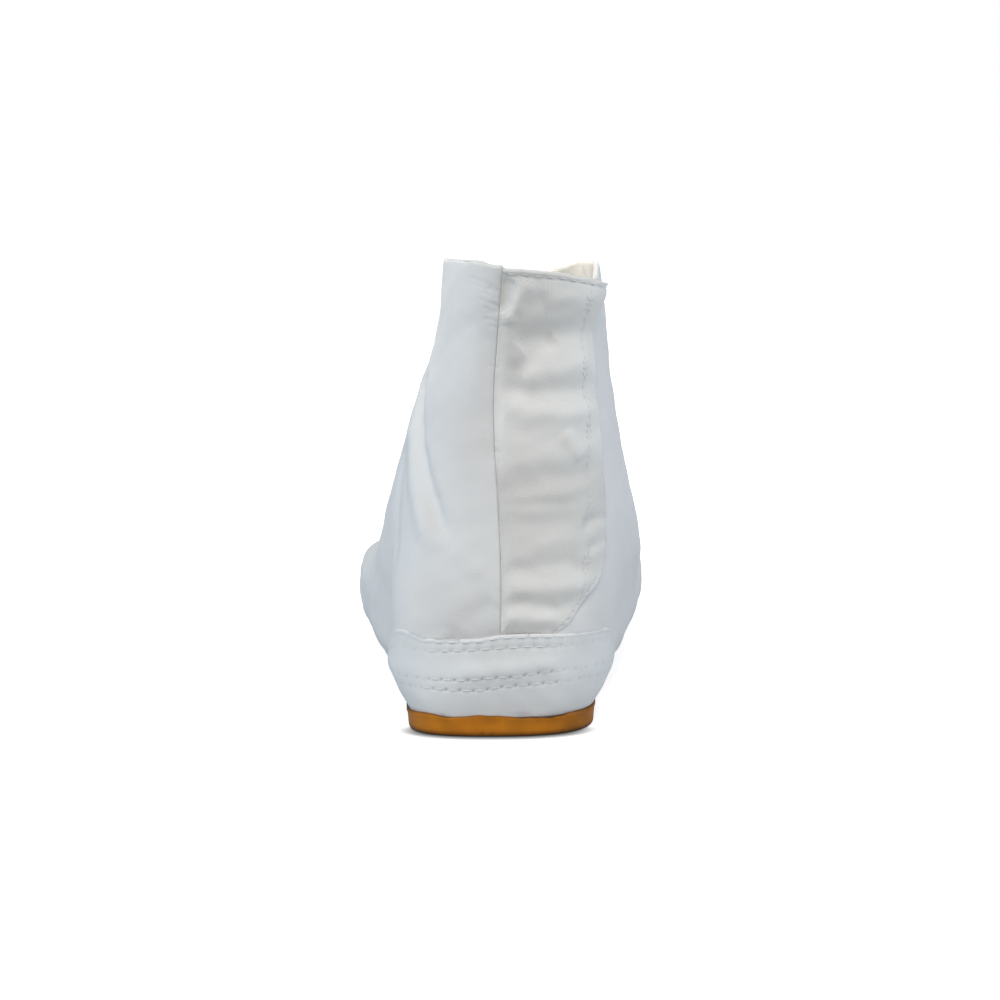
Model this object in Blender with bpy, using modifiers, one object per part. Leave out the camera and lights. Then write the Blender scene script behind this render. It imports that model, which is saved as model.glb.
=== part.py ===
"""Tabi, left foot: a split-toe cotton ankle shoe on a thin gum-rubber sole, built as five separate solids.

Lengths are in millimetres until the last step and the meshes are in metres.
x runs to the medial side, y from the heel to the toes, z up from the ground.
"""

import bmesh
import bpy
import numpy as np
from mathutils import Vector
from mathutils.geometry import delaunay_2d_cdt

# ---- named sizes ------------------------------------------------------------
MM = 0.001
WALL = 1.6            # doubled cotton of the upper
GAP = 0.3             # clearance between pieces that touch
SLAB = 4.5            # rubber under the foot
FEATHER_Z = SLAB + GAP
RIM_THICK = 1.7       # rubber rim around the outside
RIM_THICK_CLEFT = 0.8  # the same rim between the toes
RIM_LEVEL = 0.042     # level of the upper where the rim stops
SPRING_START = 178.0  # the sole lifts from the ground ahead of here
ARCH = 1.2            # lift of the sole under the waist
ARCH_FROM, ARCH_TO = 72.0, 138.0
INSOLE_THICK = 2.0
CLEFT_X = 8.0         # the split between the big toe and the others
FLAP_THICK = 1.5
BAND_THICK = 1.2
BAND_LIFT = 0.5       # clearance under the band, more than GAP where the heel turns tightly
SLIT_FROM, SLIT_TO = 3.0, 5.4   # back opening, distance from the seam on the medial side
SLIT_LEVEL = 0.46     # the opening runs from here up to the collar

SIDE_STEPS = 33       # points along each side of a ring
CLEFT_STEPS = 12      # points along each toe pocket's cleft side

# ---- sections of the upper, one row for each level from the sole to the collar
SECTION = ("level", "back_y", "back_z", "front_z",       # centre back, height at the front
           "tip_med", "tip_lat", "web",                  # y of the pockets' ends and of the split's root
           "back_lat", "back_med", "mid_lat", "mid_med", "ball_lat", "ball_med",  # half widths
           "round_back", "round_front", "seam_x", "lobe_lat", "lobe_med", "gap")
SECTIONS = (
    (0.00, 3.0, FEATHER_Z, 11.0, 258.0, 251.5, 214.0, 28.8, 28.6, 33.0, 30.5, 39.4, 39.2, 23, 58, -5.0, -9, 25, 2.0),
    (0.05, 2.0, 7.2, 13.0, 259.0, 252.5, 214.0, 30.0, 29.8, 35.6, 33.8, 41.8, 41.6, 24, 58, -4.5, -9, 25, 2.0),
    (0.13, -0.3, 13.4, 16.8, 262.0, 255.0, 214.0, 33.6, 33.4, 43.0, 42.5, 48.2, 48.0, 26, 60, -3.2, -9, 25, 1.9),
    (0.22, -2.0, 22.0, 22.5, 263.0, 256.0, 214.0, 36.4, 36.2, 46.9, 46.4, 52.2, 52.0, 29, 62, -1.8, -9, 25, 2.0),
    (0.31, -2.5, 32.0, 29.5, 259.0, 249.0, 212.0, 36.2, 36.6, 47.4, 47.6, 51.8, 52.2, 31, 66, -0.4, -10, 25, 3.0),
    (0.39, -1.8, 42.0, 36.5, 236.0, 226.0, 203.0, 35.8, 37.4, 45.0, 47.9, 46.6, 50.6, 33, 80, -0.1, -10, 24, 5.0),
    (0.46, 0.0, 52.0, 43.5, 202.0, 198.0, 192.0, 35.0, 37.7, 42.7, 47.8, 41.2, 47.4, 35, 90, -0.2, -7, 21, 6.0),
    (0.54, 3.0, 65.0, 52.5, 171.0, 170.5, 170.4, 33.2, 37.4, 39.6, 46.5, 36.2, 43.6, 37, 90, -0.6, -2, 18, 6.0),
    (0.62, 6.0, 79.0, 64.5, 146.0, 146.0, 146.4, 30.5, 36.0, 36.2, 42.8, 32.8, 39.4, 39, 80, -1.4, 2, 14, 6.0),
    (0.70, 8.5, 93.0, 79.5, 128.0, 128.0, 128.4, 27.5, 34.9, 32.6, 39.5, 29.8, 36.8, 41, 70, -2.2, 4, 12, 6.0),
    (0.78, 10.0, 107.0, 96.5, 117.0, 117.0, 117.4, 24.2, 34.2, 27.6, 37.0, 25.4, 35.4, 42, 60, -2.5, 5, 11, 5.0),
    (0.86, 9.5, 122.0, 115.0, 110.0, 110.0, 110.4, 21.0, 33.4, 22.6, 35.4, 21.6, 34.0, 42, 54, -1.6, 5, 11, 5.0),
    (0.93, 8.0, 136.0, 130.0, 106.0, 106.0, 106.4, 19.4, 32.5, 20.0, 33.8, 19.4, 32.7, 42, 50, -0.6, 5, 11, 5.0),
    (1.00, 6.5, 150.0, 142.0, 103.0, 103.0, 103.4, 18.4, 31.6, 18.8, 32.2, 18.4, 31.8, 42, 48, 0.4, 5, 11, 5.0),
)
COLUMN = {name: np.array([row[i] for row in SECTIONS], float) for i, name in enumerate(SECTION)}
RING_LEVELS = (0.0, 0.045, 0.09, 0.14, 0.19, 0.24, 0.28, 0.32, 0.36, 0.40, 0.44, 0.49, 0.55, 0.62, 0.70, 0.78, 0.86, 0.93, 1.0)

# ---- height of the collar's edge, one row for each place from the back to the front
COLLAR_EDGE = ("y", "lat", "med")
COLLAR_EDGES = (
    (6.5, 150.0, 148.4),
    (16.0, 150.2, 146.0),
    (28.0, 150.2, 143.8),
    (38.0, 149.8, 147.0),
    (48.0, 149.4, 148.4),
    (62.0, 148.6, 148.2),
    (85.0, 147.9, 147.6),
    (97.0, 147.0, 145.4),
    (103.0, 143.2, 143.0),
)
COLLAR = {name: [row[i] for row in COLLAR_EDGES] for i, name in enumerate(COLLAR_EDGE)}

# ---- the flap, one row for each height: reach is measured along the cloth from the seam
FLAP_EDGE = ("level", "reach")
FLAP_EDGES = ((0.324, 19.0), (0.340, 22.0), (0.368, 25.0), (0.392, 27.5), (0.412, 30.5), (0.432, 34.5), (0.452, 36.5), (0.508, 38.5),
              (0.580, 40.0), (0.644, 40.0), (0.728, 39.5), (0.780, 37.0), (0.844, 35.5), (0.904, 35.0), (0.936, 36.0), (0.968, 38.5), (1.0, 42.0))
FLAP_FOOT_LEVEL = 0.328
FLAP_FLARE = 2.4      # the free upper corner stands off by this much more

# ---- the heel band's upper edge with its rounded corners, one row for each distance from the seam (medial is positive)
BAND_EDGE = ("distance", "level")
BAND_EDGES = ((-45.0, 0.130), (-44.2, 0.210), (-42.8, 0.270), (-39.8, 0.308), (-34.0, 0.320), (-25.0, 0.308), (-7.5, 0.313), (0.5, 0.323),
              (19.0, 0.321), (40.5, 0.316), (46.5, 0.298), (50.5, 0.258), (52.8, 0.196), (53.8, 0.130))
BAND_FOOT_LEVEL = 0.070

PIECES = (  # name, base colour, roughness
    ("outsole", (0.46, 0.19, 0.03, 1.0), 0.50),
    ("insole", (0.72, 0.68, 0.58, 1.0), 0.90),
    ("upper", (0.78, 0.78, 0.77, 1.0), 0.90),
    ("back_flap", (0.79, 0.79, 0.77, 1.0), 0.90),
    ("heel_band", (0.79, 0.79, 0.78, 1.0), 0.88),
)


# ---- curve helpers ----------------------------------------------------------
def smooth(xs, ys, x):
    """Monotone cubic through a table's two columns."""
    xs, ys, x = np.asarray(xs, float), np.asarray(ys, float), np.asarray(x, float)
    h = np.diff(xs)
    d = np.diff(ys) / h
    m = np.r_[d[0], np.zeros(len(xs) - 2), d[-1]]
    for i in range(1, len(xs) - 1):
        if d[i - 1] * d[i] > 0:
            wa, wb = 2 * h[i] + h[i - 1], h[i] + 2 * h[i - 1]
            m[i] = (wa + wb) / (wa / d[i - 1] + wb / d[i])
    k = np.clip(np.searchsorted(xs, x) - 1, 0, len(xs) - 2)
    t = np.clip((x - xs[k]) / h[k], 0, 1)
    return ((1 + 2 * t) * (1 - t) ** 2 * ys[k] + t * (1 - t) ** 2 * h[k] * m[k]
            + t * t * (3 - 2 * t) * ys[k + 1] + t * t * (t - 1) * h[k] * m[k + 1])


def ease(t):
    t = np.clip(t, 0, 1)
    return t * t * (3 - 2 * t)


def rounded(d, r, n):
    """0 at d = 0 rising to 1 at d = r along a superellipse."""
    return (1 - (1 - np.clip(np.asarray(d, float) / r, 0, 1)) ** n) ** (1.0 / n)


def along(path, marks):
    """Points of a polyline at the given parts (0..1) of its length, and that length."""
    step = np.r_[0, np.cumsum(np.linalg.norm(np.diff(path, axis=0), axis=1))]
    return np.stack([np.interp(marks * step[-1], step, path[:, i]) for i in range(3)], 1), step[-1]


# ---- the upper's own function -----------------------------------------------
def section(level, grow=0.0, grow_cleft=None):
    """One level's sizes, let out by `grow` all round."""
    r = {name: float(smooth(COLUMN["level"], COLUMN[name], level)) for name in SECTION}
    inside = grow if grow_cleft is None else grow_cleft
    r["back_y"] -= grow
    for name in ("tip_med", "tip_lat", "back_lat", "back_med", "mid_lat", "mid_med", "ball_lat", "ball_med"):
        r[name] += grow
    r["web"] += inside
    r["gap"] -= inside
    return r


def ring_height(r, y, which):
    """Height of a level along the foot: toe spring low down, falling to the front higher up, meeting the collar's edge."""
    front = max(r["tip_med"], r["web"])
    u = np.clip((y - r["back_y"]) / (front - r["back_y"]), 0, 1)
    spring = np.clip((y - SPRING_START) / (front - SPRING_START + 1e-6), 0, 1) ** 2
    shaft = ease((r["level"] - 0.15) / 0.35)
    z = r["back_z"] + (r["front_z"] - r["back_z"]) * ((1 - shaft) * spring + shaft * ease(u))
    waist = np.clip((y - ARCH_FROM) / (ARCH_TO - ARCH_FROM), 0, 1)
    z = z + ARCH * np.sin(np.pi * waist) ** 2 * (1 - ease(r["level"] / 0.25))
    # near the top each level bends towards the collar's own edge
    first, last = COLLAR["y"][0], COLLAR["y"][-1]
    edge = smooth(COLLAR["y"], COLLAR[which], first + u * (last - first))
    plain = COLUMN["back_z"][-1] + (COLUMN["front_z"][-1] - COLUMN["back_z"][-1]) * ease(u)
    return z + ease((r["level"] - 0.80) / 0.20) * (edge - plain)


def side_path(r, which, n=150):
    """One side of a level from the centre back to the end of its toe pocket."""
    tip, back = r["tip_" + which], r["back_y"]
    y = back + (tip - back) * (1 - np.cos(np.linspace(0, np.pi, n))) / 2
    u = (y - back) / (tip - back)
    w = smooth((0, 0.14, 0.38, 0.64, 1.0), (r["back_" + which] * 0.965, r["back_" + which], r["mid_" + which],
                                            r["ball_" + which], r["ball_" + which] * 0.97), u)
    medial = which == "med"
    low = 1 - ease(r["level"] / 0.2)
    square = 2.25 + 0.3 * low + (0.9 * ease((r["level"] - 0.35) / 0.3) if medial else 0.0)
    heel = r["round_back"] * (1.1 if medial else 0.85 - 0.1 * low)
    toe = min(r["round_front"] * (0.86 if medial else 1.0), 0.9 * (tip - back))
    full = rounded(y - back, heel, square) * rounded(tip - y, toe, 2.3)
    centre = r["seam_x"] + (r["lobe_" + which] - r["seam_x"]) * ease(u)
    x = centre + (w - centre) * full if medial else centre - (w + centre) * full
    return np.stack([x, y, ring_height(r, y, which)], 1)


def cleft_path(r, which, n=80):
    """The cleft side of a toe pocket, from its end back to the root of the split: a slot low down, a soft valley above."""
    tip, web, lobe = r["tip_" + which], r["web"], r["lobe_" + which]
    toward = 1.0 if which == "lat" else -1.0
    depth = max(tip - web, 0.0)
    t = np.linspace(0, 1, n)
    valley = np.stack([lobe + (CLEFT_X - lobe) * t, tip + (web - tip) * (1 - np.cos(np.pi * t)) / 2, 0 * t], 1)
    if depth < 0.5:
        slot = valley
    else:
        corner = 16.0 + 26.0 * ease((r["level"] - 0.2) / 0.2)
        reach = abs(CLEFT_X - toward * r["gap"] - lobe)
        y = tip - depth * (1 - np.cos(t * np.pi / 2))
        wall = np.stack([lobe + toward * reach * rounded(tip - y, corner, 2.4), y, 0 * t], 1)
        root = np.linspace(wall[-1], (CLEFT_X, web, 0.0), 12)[1:]
        slot = np.vstack([wall, root])
    marks = np.linspace(0, 1, n)
    soft = ease((r["level"] - 0.28) / 0.14)
    path = (1 - soft) * along(slot, marks)[0] + soft * along(valley, marks)[0]
    path[:, 2] = ring_height(r, path[:, 1], which)
    return path


def ring(level, grow=0.0, grow_cleft=None, side=SIDE_STEPS, cleft=CLEFT_STEPS):
    """A closed level: centre back, lateral side, lateral pocket, root of the split, big-toe pocket, medial side."""
    r = section(level, grow, grow_cleft)
    lateral = along(side_path(r, "lat"), np.linspace(0, 1, side + 1)[:-1])[0]
    pocket_lat = along(cleft_path(r, "lat"), np.linspace(0, 1, cleft + 1)[:-1])[0]
    pocket_med = along(cleft_path(r, "med")[::-1], np.linspace(0, 1, cleft + 1)[:-1])[0]
    path = side_path(r, "med")
    length = along(path, np.array([0.0]))[1]
    marks = np.r_[SLIT_FROM / length, np.linspace(SLIT_TO / length, 1, side - 1)]
    medial = along(path, marks)[0][::-1]
    return np.vstack([lateral, pocket_lat, pocket_med, medial])


def on_cloth(level, distance):
    """A point of the upper's outer face, by level and by distance along the cloth from the back seam (medial is positive)."""
    path = side_path(section(level), "med" if distance >= 0 else "lat")
    length = along(path, np.array([0.0]))[1]
    return along(path, np.array([abs(distance) / length]))[0][0]


def off_cloth(level, distance, lift):
    """The same point lifted off the face along its normal."""
    p = on_cloth(level, distance)
    near = 0.6 if distance >= 0 else -0.6
    across = (on_cloth(level, distance + near) - p) * np.sign(near)
    lo, hi = max(level - 0.012, 0.0), min(level + 0.012, 1.0)
    up = on_cloth(hi, distance) - on_cloth(lo, distance)
    n = np.cross(across, up)
    return p + lift * n / np.linalg.norm(n)


# ---- meshes -----------------------------------------------------------------
def piece_object(name, points, faces):
    mesh = bpy.data.meshes.new(name)
    mesh.from_pydata([Vector(p) * MM for p in points], [], faces)
    mesh.update()
    obj = bpy.data.objects.new(name, mesh)
    parts.objects.link(obj)
    return obj


def face_outward(obj):
    """All faces of a closed body point out; loose doubles are welded first."""
    bm = bmesh.new()
    bm.from_mesh(obj.data)
    bmesh.ops.remove_doubles(bm, verts=bm.verts, dist=0.00001)
    bmesh.ops.recalc_face_normals(bm, faces=bm.faces)
    if bm.calc_volume(signed=True) < 0:
        bmesh.ops.reverse_faces(bm, faces=bm.faces)
    bm.to_mesh(obj.data)
    bm.free()


def thicken(obj, thick, offset):
    """Solidify an open surface and keep the result as the mesh."""
    mod = obj.modifiers.new("thickness", "SOLIDIFY")
    mod.thickness = thick * MM
    mod.offset = offset
    mod.use_even_offset = True
    mod.thickness_clamp = 0.0
    mod.use_rim = True
    bpy.context.view_layer.update()
    solid = bpy.data.meshes.new_from_object(obj.evaluated_get(bpy.context.evaluated_depsgraph_get()))
    obj.modifiers.clear()
    obj.data = solid
    face_outward(obj)


def grid_faces(rows, cols, closed):
    faces = []
    for i in range(rows - 1):
        for j in range(cols if closed else cols - 1):
            k = (j + 1) % cols
            faces.append((i * cols + j, i * cols + k, (i + 1) * cols + k, (i + 1) * cols + j))
    return faces


def cap(outline, height, step=15.0, margin=5.0):
    """Triangles filling a closed outline, with inner points on a grid so that the face can bend."""
    flat = [Vector((p[0], p[1])) for p in outline]
    n = len(flat)
    xs, ys = [p.x for p in flat], [p.y for p in flat]
    inner = []
    for x in np.arange(min(xs) + margin, max(xs) - margin, step):
        for y in np.arange(min(ys) + margin, max(ys) - margin, step):
            q = Vector((x, y))
            crossings = sum(1 for i in range(n) if (flat[i].y > y) != (flat[i - 1].y > y)
                            and x < (flat[i - 1].x - flat[i].x) * (y - flat[i].y) / (flat[i - 1].y - flat[i].y) + flat[i].x)
            if crossings % 2 and min((q - p).length for p in flat) > margin:
                inner.append(q)
    edges = [(i, (i + 1) % n) for i in range(n)]
    verts, _, tris, origin, _, _ = delaunay_2d_cdt(flat + inner, edges, [], 1, 1e-5)
    points = []
    for v, source in zip(verts, origin):
        rim = [s for s in source if s < n]
        points.append(tuple(outline[rim[0]]) if rim else (v.x, v.y, height(v.y)))
    return points, [tuple(t) for t in tris]


def sole_base(y):
    """Lift of the sole's underside: toe spring ahead of the ball, a shallow arch under the waist."""
    return float(ring_height(section(0.0), np.array([float(y)]), "lat")[0]) - FEATHER_Z


def make_upper():
    rings = [ring(v) for v in RING_LEVELS]
    cols = len(rings[0])
    faces = [f for f in grid_faces(len(rings), cols, True)
             # the back opening: the narrow column beside the seam, left out above SLIT_LEVEL
             if not (f[0] % cols == cols - 2 and RING_LEVELS[f[0] // cols] >= SLIT_LEVEL)]
    obj = piece_object("upper", np.vstack(rings), [f[::-1] for f in faces])
    thicken(obj, WALL, -1.0)
    return obj


def make_outsole():
    """Rings from the tread edge, round the rim and down to the bed, closed by two caps."""
    outer, cleft = GAP + RIM_THICK, GAP + RIM_THICK_CLEFT
    profile = (  # level of the upper it follows, let out, let out in the cleft, height above the sole's base (None: rim height)
        (0.0, outer - 1.1, cleft - 0.6, 0.0),
        (0.0, outer - 0.5, cleft - 0.25, 0.2),
        (0.0, outer - 0.15, cleft - 0.05, 0.8),
        (0.0, outer, cleft, 2.2),
        (RIM_LEVEL, outer - 0.1, cleft, None),
        (RIM_LEVEL, outer - 0.55, cleft - 0.25, None),
        (RIM_LEVEL, GAP, GAP, None),
        (0.0, GAP, GAP, SLAB),
    )
    rings = []
    for i, (level, grow, grow_cleft, height) in enumerate(profile):
        pts = ring(level, grow, grow_cleft)
        if height is not None:
            pts[:, 2] = [sole_base(p[1]) + height for p in pts]
        elif i == 5:
            pts[:, 2] += 0.35
        rings.append(pts)
    cols = len(rings[0])
    points = [tuple(p) for p in np.vstack(rings)]
    faces = grid_faces(len(rings), cols, True)
    for outline, lift in ((rings[0], 0.0), (rings[-1], SLAB)):
        pts, tris = cap(outline, lambda y, lift=lift: sole_base(y) + lift)
        faces += [tuple(i + len(points) for i in t) for t in tris]
        points += pts
    obj = piece_object("outsole", points, faces)
    face_outward(obj)
    return obj


def make_insole():
    inset = -(WALL + 1.2)
    low, high = ring(0.0, inset), ring(0.0, inset)
    low[:, 2] = [sole_base(p[1]) + SLAB + GAP for p in low]
    high[:, 2] = low[:, 2] + INSOLE_THICK
    points = [tuple(p) for p in np.vstack([low, high])]
    faces = grid_faces(2, len(low), True)
    for outline, lift in ((low, SLAB + GAP), (high, SLAB + GAP + INSOLE_THICK)):
        pts, tris = cap(outline, lambda y, lift=lift: sole_base(y) + lift)
        faces += [tuple(i + len(points) for i in t) for t in tris]
        points += pts
    obj = piece_object("insole", points, faces)
    face_outward(obj)
    return obj


def make_flap():
    """Lies on the upper from the back seam to its free edge; the lower corner is cut off slantwise."""
    edge = {name: [row[i] for row in FLAP_EDGES] for i, name in enumerate(FLAP_EDGE)}
    across, rise = 10, 17
    points = []
    for i in range(rise + 1):
        level = FLAP_FOOT_LEVEL + (1.0 - FLAP_FOOT_LEVEL) * i / rise
        reach = float(smooth(edge["level"], edge["reach"], level))
        for j in range(across + 1):
            t = j / across
            flare = FLAP_FLARE * ease((level - 0.88) / 0.12) * ease((t - 0.55) / 0.45)
            points.append(off_cloth(level, 0.05 + reach * t, GAP + flare))
    obj = piece_object("back_flap", points, grid_faces(rise + 1, across + 1, False))
    thicken(obj, FLAP_THICK, 1.0)
    return obj


def make_band():
    """The counter band around the heel, its two ends rounded down to the sole."""
    edge = {name: [row[i] for row in BAND_EDGES] for i, name in enumerate(BAND_EDGE)}
    first, last = edge["distance"][0], edge["distance"][-1]
    ends = (1 - np.cos(np.linspace(0, np.pi, 41))) / 2          # columns are closer together at the ends
    places = first + (last - first) * (0.6 * ends + 0.4 * np.linspace(0, 1, 41))
    rise = 6
    points = []
    for i in range(rise + 1):
        for distance in places:
            top = float(smooth(edge["distance"], edge["level"], distance))
            points.append(off_cloth(BAND_FOOT_LEVEL + (top - BAND_FOOT_LEVEL) * i / rise, float(distance), BAND_LIFT))
    obj = piece_object("heel_band", points, grid_faces(rise + 1, len(places), False))
    thicken(obj, BAND_THICK, 1.0)
    return obj


# ---- assembly ---------------------------------------------------------------
for old in list(bpy.data.objects):
    bpy.data.objects.remove(old, do_unlink=True)
parts = bpy.data.collections.new("tabi")
bpy.context.scene.collection.children.link(parts)

pieces = {obj.name: obj for obj in (make_outsole(), make_insole(), make_upper(), make_flap(), make_band())}

# the origin is the middle of the footprint's box, on the ground
every = np.array([v.co for obj in pieces.values() for v in obj.data.vertices])
low, high = every.min(0), every.max(0)
shift = Vector((-(low[0] + high[0]) / 2, -(low[1] + high[1]) / 2, -low[2]))
for name, colour, roughness in PIECES:
    obj = pieces[name]
    for v in obj.data.vertices:
        v.co += shift
    material = bpy.data.materials.new(name)
    material.use_nodes = True
    shader = material.node_tree.nodes["Principled BSDF"]
    shader.inputs["Base Color"].default_value = colour
    shader.inputs["Roughness"].default_value = roughness
    shader.inputs["Metallic"].default_value = 0.0
    obj.data.materials.clear()
    obj.data.materials.append(material)
    for polygon in obj.data.polygons:
        polygon.use_smooth = True
print("shift_mm", [round(c / MM, 4) for c in shift], "triangles",
      {n: sum(len(p.vertices) - 2 for p in o.data.polygons) for n, o in pieces.items()})
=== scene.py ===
"""Tabi, left foot: the cloth, rubber and thread as the photograph shows them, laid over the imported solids.

Sizes are in millimetres in the last's own axes (x medial, y from the heel, z up).
They turn into metres in the shared frame when a mesh is made.
"""

import math

import bpy
import numpy as np
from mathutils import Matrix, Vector
from mathutils.geometry import delaunay_2d_cdt


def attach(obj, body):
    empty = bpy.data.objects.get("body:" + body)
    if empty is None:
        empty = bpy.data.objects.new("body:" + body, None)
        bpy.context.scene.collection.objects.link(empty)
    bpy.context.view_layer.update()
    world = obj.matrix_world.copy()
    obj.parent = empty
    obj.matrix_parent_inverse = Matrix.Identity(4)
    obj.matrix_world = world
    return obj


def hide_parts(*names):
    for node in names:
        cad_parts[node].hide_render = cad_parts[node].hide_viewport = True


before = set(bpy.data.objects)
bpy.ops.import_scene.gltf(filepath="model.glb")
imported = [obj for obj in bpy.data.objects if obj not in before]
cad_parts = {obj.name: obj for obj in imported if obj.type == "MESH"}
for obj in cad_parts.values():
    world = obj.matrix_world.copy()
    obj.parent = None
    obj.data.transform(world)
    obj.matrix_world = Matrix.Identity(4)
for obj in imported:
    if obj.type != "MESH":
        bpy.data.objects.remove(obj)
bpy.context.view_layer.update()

# ---- named sizes, as in the part's source -----------------------------------
MM = 0.001
SHIFT = np.array((-0.0016, -129.3052, 0.0))  # last's axes to the shared frame
WALL = 1.6
GAP = 0.3
SLAB = 4.5
FEATHER_Z = SLAB + GAP
RIM_THICK = 1.7
RIM_THICK_CLEFT = 0.8
RIM_LEVEL = 0.042
SPRING_START = 178.0
ARCH = 1.2
ARCH_FROM, ARCH_TO = 72.0, 138.0
INSOLE_THICK = 2.0
CLEFT_X = 8.0
SLIT_FROM, SLIT_TO = 3.0, 5.4
SLIT_LEVEL = 0.46

SECTION = ("level", "back_y", "back_z", "front_z", "tip_med", "tip_lat", "web",
           "back_lat", "back_med", "mid_lat", "mid_med", "ball_lat", "ball_med",
           "round_back", "round_front", "seam_x", "lobe_lat", "lobe_med", "gap")
SECTIONS = (
    (0.00, 3.0, FEATHER_Z, 11.0, 258.0, 251.5, 214.0, 28.8, 28.6, 33.0, 30.5, 39.4, 39.2, 23, 58, -5.0, -9, 25, 2.0),
    (0.05, 2.0, 7.2, 13.0, 259.0, 252.5, 214.0, 30.0, 29.8, 35.6, 33.8, 41.8, 41.6, 24, 58, -4.5, -9, 25, 2.0),
    (0.13, -0.3, 13.4, 16.8, 262.0, 255.0, 214.0, 33.6, 33.4, 43.0, 42.5, 48.2, 48.0, 26, 60, -3.2, -9, 25, 1.9),
    (0.22, -2.0, 22.0, 22.5, 263.0, 256.0, 214.0, 36.4, 36.2, 46.9, 46.4, 52.2, 52.0, 29, 62, -1.8, -9, 25, 2.0),
    (0.31, -2.5, 32.0, 29.5, 259.0, 249.0, 212.0, 36.2, 36.6, 47.4, 47.6, 51.8, 52.2, 31, 66, -0.4, -10, 25, 3.0),
    (0.39, -1.8, 42.0, 36.5, 236.0, 226.0, 203.0, 35.8, 37.4, 45.0, 47.9, 46.6, 50.6, 33, 80, -0.1, -10, 24, 5.0),
    (0.46, 0.0, 52.0, 43.5, 202.0, 198.0, 192.0, 35.0, 37.7, 42.7, 47.8, 41.2, 47.4, 35, 90, -0.2, -7, 21, 6.0),
    (0.54, 3.0, 65.0, 52.5, 171.0, 170.5, 170.4, 33.2, 37.4, 39.6, 46.5, 36.2, 43.6, 37, 90, -0.6, -2, 18, 6.0),
    (0.62, 6.0, 79.0, 64.5, 146.0, 146.0, 146.4, 30.5, 36.0, 36.2, 42.8, 32.8, 39.4, 39, 80, -1.4, 2, 14, 6.0),
    (0.70, 8.5, 93.0, 79.5, 128.0, 128.0, 128.4, 27.5, 34.9, 32.6, 39.5, 29.8, 36.8, 41, 70, -2.2, 4, 12, 6.0),
    (0.78, 10.0, 107.0, 96.5, 117.0, 117.0, 117.4, 24.2, 34.2, 27.6, 37.0, 25.4, 35.4, 42, 60, -2.5, 5, 11, 5.0),
    (0.86, 9.5, 122.0, 115.0, 110.0, 110.0, 110.4, 21.0, 33.4, 22.6, 35.4, 21.6, 34.0, 42, 54, -1.6, 5, 11, 5.0),
    (0.93, 8.0, 136.0, 130.0, 106.0, 106.0, 106.4, 19.4, 32.5, 20.0, 33.8, 19.4, 32.7, 42, 50, -0.6, 5, 11, 5.0),
    (1.00, 6.5, 150.0, 142.0, 103.0, 103.0, 103.4, 18.4, 31.6, 18.8, 32.2, 18.4, 31.8, 42, 48, 0.4, 5, 11, 5.0),
)
COLUMN = {name: np.array([row[i] for row in SECTIONS], float) for i, name in enumerate(SECTION)}

COLLAR_EDGE = ("y", "lat", "med")
COLLAR_EDGES = (
    (6.5, 150.0, 148.4),
    (16.0, 150.2, 146.0),
    (28.0, 150.2, 143.8),
    (38.0, 149.8, 147.0),
    (48.0, 149.4, 148.4),
    (62.0, 148.6, 148.2),
    (85.0, 147.9, 147.6),
    (97.0, 147.0, 145.4),
    (103.0, 143.2, 143.0),
)
COLLAR = {name: [row[i] for row in COLLAR_EDGES] for i, name in enumerate(COLLAR_EDGE)}

FLAP_EDGE = ("level", "reach")
FLAP_EDGES = ((0.300, 15.5), (0.324, 19.0), (0.340, 22.0), (0.368, 25.0), (0.392, 27.5), (0.412, 30.5), (0.432, 34.5), (0.452, 36.5), (0.508, 38.5),
              (0.580, 40.0), (0.644, 40.0), (0.728, 39.5), (0.780, 37.0), (0.844, 35.5), (0.904, 35.0), (0.936, 36.0), (0.968, 38.5), (1.0, 42.0))
FLAP_FOOT_LEVEL = 0.312
FLAP_FLARE = 2.4
# the flap's sewing: the long line, the line along its slanted foot, and the places where the fasteners are sewn on behind it
FLAP_LINE = ((0.405, 25.5), (0.440, 27.6), (0.468, 28.5), (0.516, 29.5), (0.552, 30.0), (0.588, 31.0), (0.676, 32.0), (0.720, 32.0), (0.812, 29.5), (0.864, 28.7),
             (0.912, 29.6), (0.940, 29.4), (0.964, 29.3), (0.986, 30.6))
FLAP_FOOT_LINE = ((0.326, 16.6), (0.356, 21.4), (0.396, 25.6), (0.424, 29.6), (0.446, 33.2))
FLAP_FASTENERS = (0.955, 0.835, 0.720, 0.595, 0.480)

BAND_EDGE = ("distance", "level")
BAND_EDGES = ((-45.0, 0.130), (-44.2, 0.210), (-42.8, 0.270), (-41.2, 0.298), (-39.0, 0.313), (-34.0, 0.320), (-29.0, 0.313), (-25.0, 0.306), (-18.0, 0.308),
              (-7.5, 0.312), (0.5, 0.323), (9.0, 0.325), (19.0, 0.321), (40.5, 0.316), (46.5, 0.298), (50.5, 0.258), (52.8, 0.196), (53.8, 0.130))
BAND_FOOT_LEVEL = 0.012
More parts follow.
